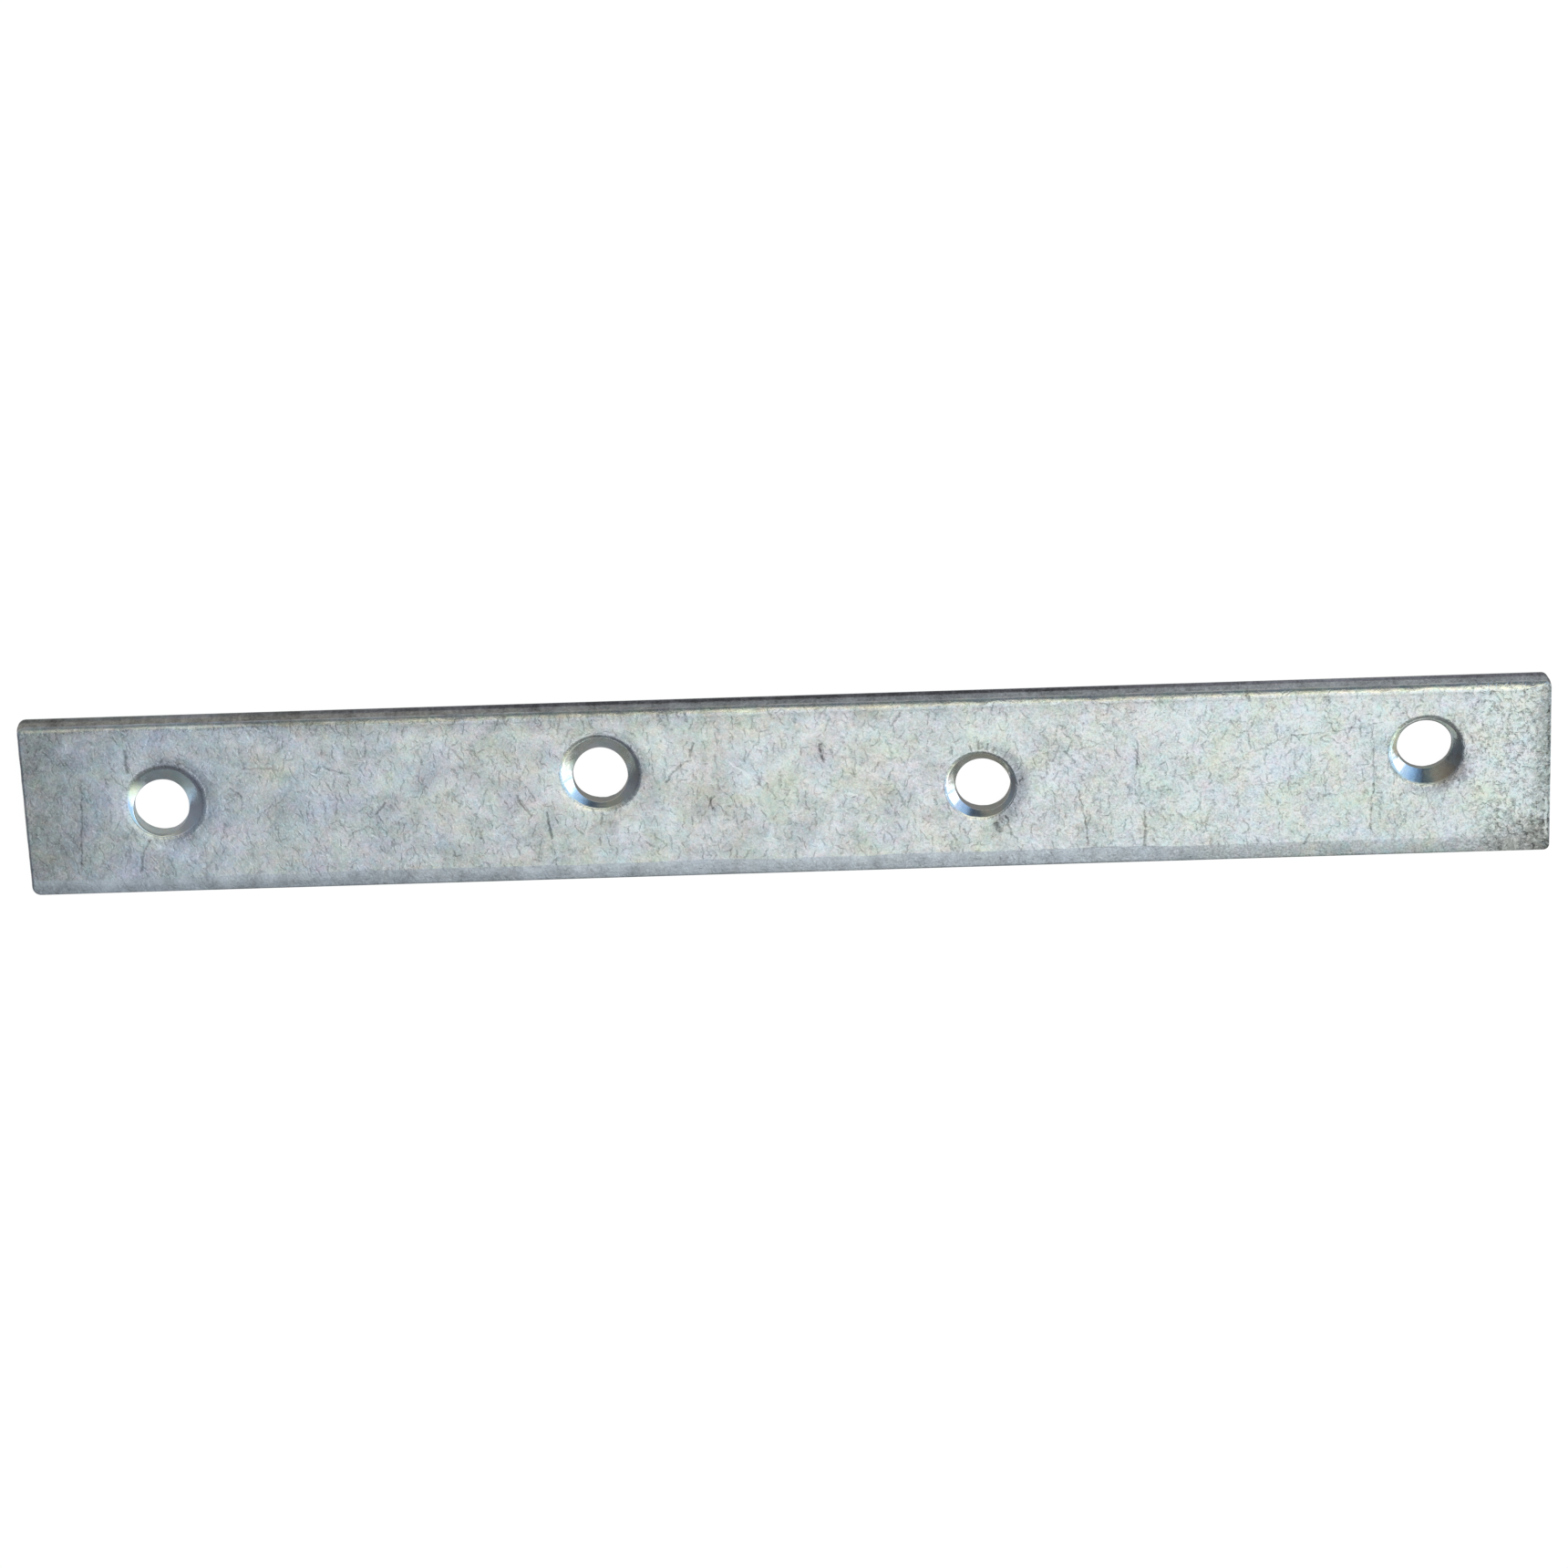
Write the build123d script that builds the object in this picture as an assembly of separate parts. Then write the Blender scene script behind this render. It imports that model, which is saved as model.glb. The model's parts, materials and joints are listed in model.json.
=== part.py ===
from build123d import *
import os
from math import hypot, radians, tan

# Four-hole mending plate: one flat piece cropped from slit steel strip, with
# countersunk screw holes in a staggered row.
# Millimetres. +X along the length, +Y across the width, +Z out of the
# countersunk face. The origin is the middle of the flat back, which lies on
# the surface that the plate rests on.

os.makedirs("parts", exist_ok=True)

# ---- overall size -----------------------------------------------------------
LENGTH = 150.0
WIDTH = 18.0
THICKNESS = 2.5

# ---- sheared edges ----------------------------------------------------------
# Shearing draws the metal down on the side where the blade enters (the roll),
# leaves an upright burnished land beyond it, and then breaks away at a lean to
# an arris on the far side. Edges -Y and +X were cut from the countersunk face,
# edges +Y and -X from the back.
# Each roll eases out of the flat, falls at an even slope and turns down sharply
# at a small nose.
#   roll_w, roll_d   width and depth of the roll      ease    where it leaves the flat
#   slope            degrees                          land    height of the burnished band
#   lean             how far the broken part leans in arris_r radius of the far edge
FRONT_SIDE = dict(roll_w=1.60, roll_d=0.32, ease=1.00, slope=8.8, land=0.90, lean=0.28, arris_r=0.15)
FRONT_END = dict(roll_w=2.20, roll_d=0.32, ease=1.80, slope=9.5, land=0.85, lean=0.20, arris_r=0.15)
REAR_SIDE = dict(roll_w=1.20, roll_d=0.30, ease=0.60, slope=10.0, land=0.85, lean=0.28, arris_r=0.70)
REAR_END = dict(roll_w=1.10, roll_d=0.28, ease=0.60, slope=10.0, land=0.80, lean=0.20, arris_r=0.28)
NOSE = 0.15                 # width of the sharp turn at the end of a roll

# ---- corners of the outline, radius seen from above -------------------------
CORNER_R = {
    (-1, 1): 0.85,
    (1, 1): 0.80,
    (1, -1): 0.60,
    (-1, -1): 0.95,
}

# ---- countersunk screw holes ------------------------------------------------
HOLE_R = 2.70               # through-hole wall, clears a 5 mm wood screw
WALL_FOOT = 0.65            # height at which the pierced wall starts to break out
BREAKOUT = 0.22             # how much wider the hole is at the back
# x, y of the hole, then its countersink: radius of the rim at the face, how far
# its axis stands off the hole's, half its included angle in degrees, and the
# rounding where it meets the face
HOLES = [
    (-61.40, -0.24, 3.98, 0.48, 0.77, 52.0, 0.95),
    (-17.96, 1.66, 4.02, 0.02, 0.56, 48.0, 0.80),
    (19.56, -0.47, 3.62, -0.23, 0.15, 48.0, 0.50),
    (62.75, 2.29, 3.77, 0.19, -0.49, 48.0, 0.80),
]


def shear(half, roll_w, roll_d, ease, slope, land, lean, arris_r, from_back):
    """The metal that shearing takes off the right-hand edge, as a face in
    (distance along, height). The roll and the arris both meet the flats at a
    few degrees, as drawn-down metal does."""
    def at(u, w):
        return (u, THICKNESS - w if from_back else w)

    rise = 0.006
    flat = THICKNESS + rise
    fall = tan(radians(slope))
    nose_top = at(half - NOSE, flat - (roll_w - ease / 2 - NOSE) * fall)
    nose_foot = at(half, flat - roll_d)
    eased = at(half - roll_w + ease, flat - ease / 2 * fall)
    roll = [
        Bezier(at(half - roll_w, flat), at(half - roll_w + ease / 2, flat), eased),
        Line(eased, nose_top),
        Bezier(nose_top, at(half, flat - (roll_w - ease / 2) * fall), nose_foot),
    ]
    far = half + 2
    start = half - lean - 0.6
    arris = at(half - lean, 0.02)
    corners = [
        at(half - roll_w, flat),
        at(half - roll_w, THICKNESS + 1),
        at(far, THICKNESS + 1),
        at(far, -1),
        at(start, -1),
        at(start, -0.035),
        arris,
        at(half, THICKNESS - roll_d - land),
        nose_foot,
    ]
    lines = [Line(a, b) for a, b in zip(corners, corners[1:])]
    face = make_face(roll + lines)
    corner = min(face.vertices(), key=lambda v: hypot(v.X - arris[0], v.Y - arris[1]))
    return fillet(corner, arris_r)


# Blank, with its four small corner radii.
outline = Rectangle(LENGTH, WIDTH)
for (sx, sy), radius in CORNER_R.items():
    corner = min(
        outline.vertices(),
        key=lambda v: hypot(v.X - sx * LENGTH / 2, v.Y - sy * WIDTH / 2),
    )
    outline = fillet(corner, radius)
plate = extrude(outline, amount=THICKNESS)

# Long edges: profile in (Y, Z), run along X.
rear_side = extrude(
    Plane.YZ * shear(WIDTH / 2, from_back=True, **REAR_SIDE), amount=LENGTH / 2 + 3, both=True
)
front_side = mirror(
    extrude(
        Plane.YZ * shear(WIDTH / 2, from_back=False, **FRONT_SIDE), amount=LENGTH / 2 + 3, both=True
    ),
    about=Plane.XZ,
)
# Ends: profile in (X, Z), run along Y.
front_end = extrude(
    Plane.XZ * shear(LENGTH / 2, from_back=False, **FRONT_END), amount=WIDTH / 2 + 3, both=True
)
rear_end = mirror(
    extrude(
        Plane.XZ * shear(LENGTH / 2, from_back=True, **REAR_END), amount=WIDTH / 2 + 3, both=True
    ),
    about=Plane.YZ,
)
for waste in (rear_side, front_side, front_end, rear_end):
    plate = plate - waste

# Holes: a pierced wall that breaks out wider at the back, under a pressed
# countersink. The two are struck separately, so their axes do not quite meet,
# and the countersink reaches deeper on the side it is set over to.
for x, y, rim_r, off_x, off_y, half_angle, rim_round in HOLES:
    spread = tan(radians(half_angle))
    wall = Pos(x, y, 0) * Cylinder(
        HOLE_R, THICKNESS + 1, align=(Align.CENTER, Align.CENTER, Align.MIN)
    )
    flare = Pos(x, y, -1) * Cone(
        HOLE_R + BREAKOUT * (WALL_FOOT + 1) / WALL_FOOT,
        HOLE_R,
        WALL_FOOT + 1,
        align=(Align.CENTER, Align.CENTER, Align.MIN),
    )
    sink = Pos(x + off_x, y + off_y, 0) * Cone(
        rim_r - THICKNESS * spread,
        rim_r + spread,
        THICKNESS + 1,
        align=(Align.CENTER, Align.CENTER, Align.MIN),
    )
    plate = plate - wall - flare - sink
    rim = [
        e
        for e in plate.edges()
        if abs((e @ 0).Z - THICKNESS) < 0.01
        and abs((e @ 0.5).Z - THICKNESS) < 0.01
        and abs(hypot((e @ 0.3).X - x - off_x, (e @ 0.3).Y - y - off_y) - rim_r) < 0.05
    ]
    plate = fillet(rim, rim_round)

solids = plate.solids()
assert len(solids) == 1, len(solids)
export_step(solids[0], "parts/mending_plate.step")
box = solids[0].bounding_box()
print("box", box.min, box.max, "volume", round(solids[0].volume, 2))
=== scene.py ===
import json
import math

import bpy
import numpy as np
from mathutils import Matrix, Vector
from mathutils.geometry import delaunay_2d_cdt


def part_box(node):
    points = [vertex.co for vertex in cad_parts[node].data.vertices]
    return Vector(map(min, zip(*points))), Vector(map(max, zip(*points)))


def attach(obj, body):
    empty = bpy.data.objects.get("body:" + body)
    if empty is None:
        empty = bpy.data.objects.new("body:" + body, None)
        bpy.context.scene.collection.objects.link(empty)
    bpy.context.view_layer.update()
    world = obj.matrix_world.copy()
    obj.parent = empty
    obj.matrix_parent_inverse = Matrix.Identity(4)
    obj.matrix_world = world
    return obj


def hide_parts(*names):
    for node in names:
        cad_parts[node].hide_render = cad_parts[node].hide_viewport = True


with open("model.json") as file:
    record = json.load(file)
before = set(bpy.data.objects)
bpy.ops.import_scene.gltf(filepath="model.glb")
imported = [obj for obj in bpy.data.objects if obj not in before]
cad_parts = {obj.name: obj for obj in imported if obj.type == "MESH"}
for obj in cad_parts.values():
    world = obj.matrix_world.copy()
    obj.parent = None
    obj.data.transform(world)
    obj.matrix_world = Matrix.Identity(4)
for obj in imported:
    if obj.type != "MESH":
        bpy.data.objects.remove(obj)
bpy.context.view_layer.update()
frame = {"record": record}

# ---------------------------------------------------------------------------
# Sizes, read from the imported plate. Everything below is worked out in
# millimetres and turned into metres when the mesh is written.
# ---------------------------------------------------------------------------
NODE = "mending_plate"
LOW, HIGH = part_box(NODE)
HX = (HIGH.x - LOW.x) * 500.0  # half length
HY = (HIGH.y - LOW.y) * 500.0  # half width
T = (HIGH.z - LOW.z) * 1000.0  # thickness
MM = 0.001

mounts = {m["name"]: m for m in frame["record"]["mounts"]}
# Countersinks: rim radius at the face, how far the axis stands off the hole's,
# half the included angle, and the rounding of the rim.
SINKS = {
    "hole_1": (3.98, 0.48, 0.77, math.radians(52.0), 0.95),
    "hole_2": (4.02, 0.02, 0.56, math.radians(48.0), 0.80),
    "hole_3": (3.62, -0.23, 0.15, math.radians(48.0), 0.50),
    "hole_4": (3.77, 0.19, -0.49, math.radians(48.0), 0.80),
}
HOLES = []
for name in sorted(SINKS):
    m = mounts[name]
    x, y = m["pos_m"][0] / MM, m["pos_m"][1] / MM
    HOLES.append((name, x, y, m["dims"]["r_mm"]) + SINKS[name])
WALL_FOOT, FLARE = 0.65, 0.22

# roll width, roll depth, ease, slope, land, lean, arris
FRONT_SIDE = (1.60, 0.32, 1.00, 8.8, 0.90, 0.28, 0.15)
FRONT_END = (2.20, 0.32, 1.80, 9.5, 0.85, 0.20, 0.15)
REAR_SIDE = (1.20, 0.30, 0.60, 10.0, 0.85, 0.28, 0.70)
REAR_END = (1.10, 0.28, 0.60, 10.0, 0.80, 0.20, 0.28)
NOSE = 0.15
CORNER_R = {"-X-Y": 0.95, "+X-Y": 0.60, "+X+Y": 0.80, "-X+Y": 0.85}


# ---------------------------------------------------------------------------
# Seeded noise
# ---------------------------------------------------------------------------
def lattice(ix, iy, seed):
    h = ix.astype(np.int64) * 374761393 + iy.astype(np.int64) * 668265263 + seed * 97 * 2654435
    h = (h ^ (h >> 13)) & 0xFFFFFFFF
    h = (h * 1274126177) & 0xFFFFFFFF
    return ((h ^ (h >> 16)) & 0xFFFFFF) / float(0xFFFFFF)


def noise(x, y, seed):
    """Smooth noise from -1 to 1."""
    x, y = np.broadcast_arrays(np.asarray(x, float), np.asarray(y, float))
    ix, iy = np.floor(x), np.floor(y)
    fx, fy = x - ix, y - iy
    fx = fx * fx * fx * (fx * (fx * 6 - 15) + 10)
    fy = fy * fy * fy * (fy * (fy * 6 - 15) + 10)
    a, b = lattice(ix, iy, seed), lattice(ix + 1, iy, seed)
    c, d = lattice(ix, iy + 1, seed), lattice(ix + 1, iy + 1, seed)
    return 2 * ((a + (b - a) * fx) * (1 - fy) + (c + (d - c) * fx) * fy) - 1


def fbm(x, y, seed, octaves=3, gain=0.5):
    total, amp, f = 0.0, 1.0, 1.0
    for o in range(octaves):
        total = total + amp * noise(np.asarray(x) * f, np.asarray(y) * f, seed + 31 * o)
        amp, f = amp * gain, f * 2.03
    return total


def smooth(e0, e1, v):
    t = np.clip((v - e0) / (e1 - e0), 0, 1)
    return t * t * (3 - 2 * t)


# ---------------------------------------------------------------------------
# Edge profiles: (inset, height) from the face inward of the edge, round the
# edge, to the back. Every profile has the same number of points in each of its
# six stretches, so that they run into each other round the corners.
# ---------------------------------------------------------------------------
FLAT_ROLL, FLAT_ARRIS = 0.45, 1.25  # where the flats begin: past the roll, and in from the arris side
N_FLAT, N_ARC, N_SEG = 6, 12, 6
STRETCH = np.repeat(np.arange(6), [N_FLAT, N_ARC, N_SEG, N_SEG, N_ARC, N_FLAT])


def profile(roll_w, roll_d, ease, slope, land, lean, arris_r, from_back):
    pts = []
    u = np.linspace(roll_w + FLAT_ROLL, roll_w, N_FLAT + 1)[:-1]
    pts += [(a, T) for a in u]
    fall = math.tan(math.radians(slope))
    drop = (roll_w - ease / 2) * fall
    n_ease, n_nose = 6, 4
    for t in np.linspace(0, 1, n_ease):  # out of the flat
        pts.append((roll_w - ease * t, T - 0.5 * ease * fall * t * t))
    u = np.linspace(roll_w - ease, NOSE, N_ARC - n_ease - n_nose + 2)[1:]
    pts += [(a, T - drop + a * fall) for a in u]
    for t in np.linspace(0, 1, n_nose)[1:]:  # over the nose
        a = NOSE * (1 - t) ** 2
        z = (1 - t) ** 2 * (drop - NOSE * fall) + 2 * t * (1 - t) * drop + t * t * roll_d
        pts.append((a, T - z))
    z0, z1 = T - roll_d, T - roll_d - land
    pts += [(0.0, z) for z in np.linspace(z0, z1, N_SEG + 1)[1:]]
    d = np.array([lean, -z1])
    d /= np.hypot(*d)
    turn = math.acos(d[0])
    tan = arris_r * math.tan(turn / 2)
    start = np.array([lean, 0.0]) - d * tan
    end = np.array([lean + tan, 0.0])
    w = np.linspace(0, 1, N_SEG + 1)[1:]
    pts += [tuple(np.array([0.0, z1]) * (1 - a) + start * a) for a in w]
    centre = end + np.array([0.0, arris_r])
    a0 = math.atan2(start[1] - centre[1], start[0] - centre[0])
    a1 = -math.pi / 2
    if a0 > 0:
        a0 -= 2 * math.pi
    ang = np.linspace(a0, a1, N_ARC + 1)[1:]
    pts += [(centre[0] + arris_r * math.cos(a), centre[1] + arris_r * math.sin(a)) for a in ang]
    pts += [(a, 0.0) for a in np.linspace(end[0], FLAT_ARRIS, N_FLAT + 1)[1:]]
    pts = np.array(pts)
    if from_back:
        pts = pts[::-1].copy()
        pts[:, 1] = T - pts[:, 1]
    return pts


PROFILES = {
    "-Y": profile(*FRONT_SIDE, False),
    "+X": profile(*FRONT_END, False),
    "+Y": profile(*REAR_SIDE, True),
    "-X": profile(*REAR_END, True),
}
K = len(STRETCH)
assert all(len(p) == K for p in PROFILES.values()), [len(p) for p in PROFILES.values()]

N_LONG, N_SHORT, N_CORNER = 430, 52, 9
SIDES = ["-Y", "+X", "+Y", "-X"]
CORNERS = ["+X-Y", "+X+Y", "-X+Y", "-X-Y"]  # the corner after each side


def perimeter():
    """Loops of points round the plate, one for each profile point, counter-clockwise seen from above."""
    rows = []
    side_of, along, fade = [], [], []
    for k in range(K):
        ins = {s: PROFILES[s][k, 0] for s in SIDES}
        hgt = {s: PROFILES[s][k, 1] for s in SIDES}
        x0, x1 = -HX + ins["-X"], HX - ins["+X"]
        y0, y1 = -HY + ins["-Y"], HY - ins["+Y"]
        r = {}
        for c in CORNERS:
            a, b = ("+X" if "+X" in c else "-X"), ("+Y" if "+Y" in c else "-Y")
            r[c] = max(CORNER_R[c] - 0.5 * (ins[a] + ins[b]), 0.05)
        pts = []
        first = k == 0

        def run(p, q, n, side, z):
            for i in range(n):
                w = i / n
                pts.append((p[0] + (q[0] - p[0]) * w, p[1] + (q[1] - p[1]) * w, z))
                if first:
                    side_of.append(side)
                    fade.append(0.0)

        def corner(cx, cy, rad, start, za, zb, n, side):
            for i in range(n):
                w = i / n
                a = math.radians(start + 90 * w)
                e = w * w * (3 - 2 * w)
                pts.append((cx + rad * math.cos(a), cy + rad * math.sin(a), za + (zb - za) * e))
                if first:
                    side_of.append(side)
                    fade.append(e)

        c1, c2, c3, c4 = (r[c] for c in CORNERS)
        run((x0 + c4, y0), (x1 - c1, y0), N_LONG, 0, hgt["-Y"])
        corner(x1 - c1, y0 + c1, c1, -90, hgt["-Y"], hgt["+X"], N_CORNER, 4)
        run((x1, y0 + c1), (x1, y1 - c2), N_SHORT, 1, hgt["+X"])
        corner(x1 - c2, y1 - c2, c2, 0, hgt["+X"], hgt["+Y"], N_CORNER, 5)
        run((x1 - c2, y1), (x0 + c3, y1), N_LONG, 2, hgt["+Y"])
        corner(x0 + c3, y1 - c3, c3, 90, hgt["+Y"], hgt["-X"], N_CORNER, 6)
        run((x0, y1 - c3), (x0, y0 + c4), N_SHORT, 3, hgt["-X"])
        corner(x0 + c4, y0 + c4, c4, 180, hgt["-X"], hgt["-Y"], N_CORNER, 7)
        rows.append(pts)
    return np.array(rows), np.array(side_of), np.array(fade)


P, side_of, fade = perimeter()
J = P.shape[1]
# distance round the plate of each column, at the outermost loop
outer = P[N_FLAT + N_ARC]
step = np.hypot(*(np.roll(outer, -1, 0) - outer)[:, :2].T)
S = np.concatenate([[0], np.cumsum(step)])
s_col = S[:-1]


def weight(k_mask_front, k_mask_back):
    """How much of each column's profile is a front-cut or a back-cut edge, for masks by stretch."""
    front = np.select(
        [side_of == 0, side_of == 1, side_of == 2, side_of == 3, side_of == 4, side_of == 5, side_of == 6, side_of == 7],
        [1, 1, 0, 0, 1, 1 - fade, 0, fade],
    )
    a = np.isin(STRETCH, k_mask_front)[:, None] * front[None]
    b = np.isin(STRETCH, k_mask_back)[:, None] * (1 - front[None])
    return a + b


# stretches: 0 flat, 1 arc at the face, 2 upper wall, 3 lower wall, 4 arc at the back, 5 flat
LAND = weight([2], [3])
FRACTURE = weight([3], [2])
ROLL = weight([1], [4])
ARRIS = weight([4], [1])


def blur_rows(m, times=2):
    for _ in range(times):
        m = 0.25 * np.vstack([m[:1], m[:-1]]) + 0.5 * m + 0.25 * np.vstack([m[1:], m[-1:]])
    return m


LAND, FRACTURE, ARRIS_B = blur_rows(LAND, 1), blur_rows(FRACTURE, 1), blur_rows(ARRIS, 1)

# outward direction of each column, seen from above
nx = np.select([side_of == 1, side_of == 3], [1.0, -1.0], 0.0)
ny = np.select([side_of == 0, side_of == 2], [-1.0, 1.0], 0.0)
for code, a0 in ((4, -90), (5, 0), (6, 90), (7, 180)):
    m = side_of == code
    ang = np.radians(a0 + 90 * np.arange(N_CORNER) / N_CORNER)
    nx[m], ny[m] = np.cos(ang), np.sin(ang)

# The rolls and arrises wander: their width varies along the edge.
x_, y_ = P[..., 0], P[..., 1]
run_x = x_ * np.abs(ny)[None] + y_ * np.abs(nx)[None]
inset = np.where(
    np.abs(ny)[None] >= np.abs(nx)[None], HY - np.abs(y_), HX - np.abs(x_)
)
top_arc = (STRETCH == 1)[:, None] | (STRETCH == 0)[:, None]
wander = np.zeros_like(x_)
front_side = (side_of == 0)[None]
back_side = (side_of == 2)[None]
end_right = (side_of == 1)[None]
end_left = (side_of == 3)[None]
# -Y roll: narrow at the -X end, fuller to the right
roll_grow = 0.15 * fbm(x_ / 7, 0 * x_, 11, 4, 0.6) + 0.12 * smooth(-60, -10, x_) - 0.22 * smooth(-52, -66, x_)
arris_grow = 0.17 * fbm(x_ / 3.2, 0 * x_, 23, 3, 0.6)
core = smooth(1.90, 1.20, inset)  # nothing moves at the innermost loop
edge_w = smooth(HX, HX - 6, np.abs(x_))
wander = np.where(front_side & top_arc, roll_grow * inset * core * edge_w, wander)
wander = np.where(
    back_side & top_arc,
    arris_grow * np.clip(inset - 0.05, 0, None) * smooth(1.2, 0.6, inset) * edge_w,
    wander,
)
P[..., 0] -= nx[None] * wander * 1.0
P[..., 1] -= ny[None] * wander * 1.0

# The walls: fine upright drag lines on the burnished land, a torn surface on
# the break, small dents and a faint burr along the arrises.
s_mm = s_col[None] + 0 * x_
z_mm = P[..., 2]
drag = 0.006 * noise(s_mm / 0.45, z_mm / 6, 41) + 0.010 * noise(s_mm / 1.6, z_mm / 5, 42)
torn = 0.020 * fbm(s_mm / 0.9, z_mm / 0.45, 43, 2) + 0.014 * noise(s_mm / 2.7, z_mm / 1.5, 44)
dents = np.zeros_like(x_)
rng = np.random.default_rng(7)
total = S[-1]
for _ in range(150):
    s0, w, d = rng.uniform(0, total), rng.uniform(0.25, 1.1), rng.uniform(0.015, 0.055)
    z0 = rng.choice([T - 0.15, T - 0.15, 0.1]) + rng.normal(0, 0.1)
    g = np.exp(-(((s_mm - s0) / w) ** 2) - ((z_mm - z0) / 0.35) ** 2)
    dents -= d * g
inward = (
    LAND * drag
    + FRACTURE * torn
    + (LAND + FRACTURE + ARRIS_B) * dents * 0.9
    + ARRIS_B * 0.010 * fbm(s_mm / 0.6, 0 * s_mm, 45, 2)
)
limit = smooth(0.0, 0.10, inset) * 1.0
# never stand out past the plate's own box
inward = np.where(inward > 0, np.minimum(inward, np.clip(inset, 0, None) * 0.9), inward)
P[..., 0] += nx[None] * inward
P[..., 1] += ny[None] * inward


def face_wave(x, y):
    """How far the flat face stands off true: strip waviness and shallow dings."""
    w = 0.012 * fbm(x / 30 + 3, y / 16, 51, 2) + 0.0035 * fbm(x / 3.2, y / 3.2, 52, 2)
    w = w + 0.0016 * noise(x / 1.1, y / 1.1, 53)
    return w - 0.050


def rear_lip(x, y):
    """The burr that shearing from the back raises along the +Y arris, pressed down at the -X end."""
    height = 0.035 + 0.016 * fbm(x / 2.6, 0 * x, 71, 3)
    height = height * smooth(-62, -36, x) + 0.010
    d = HY - y - 0.05 * fbm(x / 5.0, 0 * x, 72, 2)
    wide = np.where(d > 0.82, 0.34, 0.25)
    return np.clip(height, 0.004, 0.049) * np.exp(-(((d - 0.82) / wide) ** 2))


DINGS = []
rng = np.random.default_rng(19)
for _ in range(210):
    DINGS.append(
        (rng.uniform(-HX + 1, HX - 1), rng.uniform(-HY + 1, HY - 1), rng.uniform(0.35, 1.0), rng.uniform(0.25, 0.5), rng.uniform(0, math.pi), rng.uniform(0.003, 0.012))
    )


def dings(x, y):
    out = np.zeros_like(x)
    for cx, cy, a, b, th, d in DINGS:
        near = (np.abs(x - cx) < 2.4) & (np.abs(y - cy) < 2.4)
        if not near.any():
            continue
        dx, dy = x[near] - cx, y[near] - cy
        p, q = dx * math.cos(th) + dy * math.sin(th), -dx * math.sin(th) + dy * math.cos(th)
        out[near] -= d * np.exp(-((p / a) ** 2) - (q / b) ** 2)
    return out


def top_shift(x, y):
    return np.minimum(face_wave(x, y) + rear_lip(x, y) + dings(x, y), -0.0005)


def back_shift(x, y):
    return np.clip(0.004 + 0.004 * fbm(x / 20, y / 12, 61, 2) + 0.0018 * fbm(x / 2.5, y / 2.5, 62, 2), 0.0, None)


# ---------------------------------------------------------------------------
# Holes: loops from the face, over the rim, down the countersink, the wall and
# the breakout, to the back.
# ---------------------------------------------------------------------------
N_RING = 150
HOLE_OUT = 1.15  # how far round the rim the hole's own loops reach
SOFT = {  # how far the face is drawn down round the rim: depth, reach, and toward which bearing
    "hole_1": [(0.120, 0.95, 40), (0.055, 0.8, -80), (0.050, 0.8, 130)],
    "hole_2": [(0.080, 0.70, 20), (0.060, 0.7, 110)],
    "hole_3": [(0.130, 0.95, -5), (0.040, 0.6, 100)],
    "hole_4": [(0.080, 0.85, -35), (0.055, 0.75, -120)],
}


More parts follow.
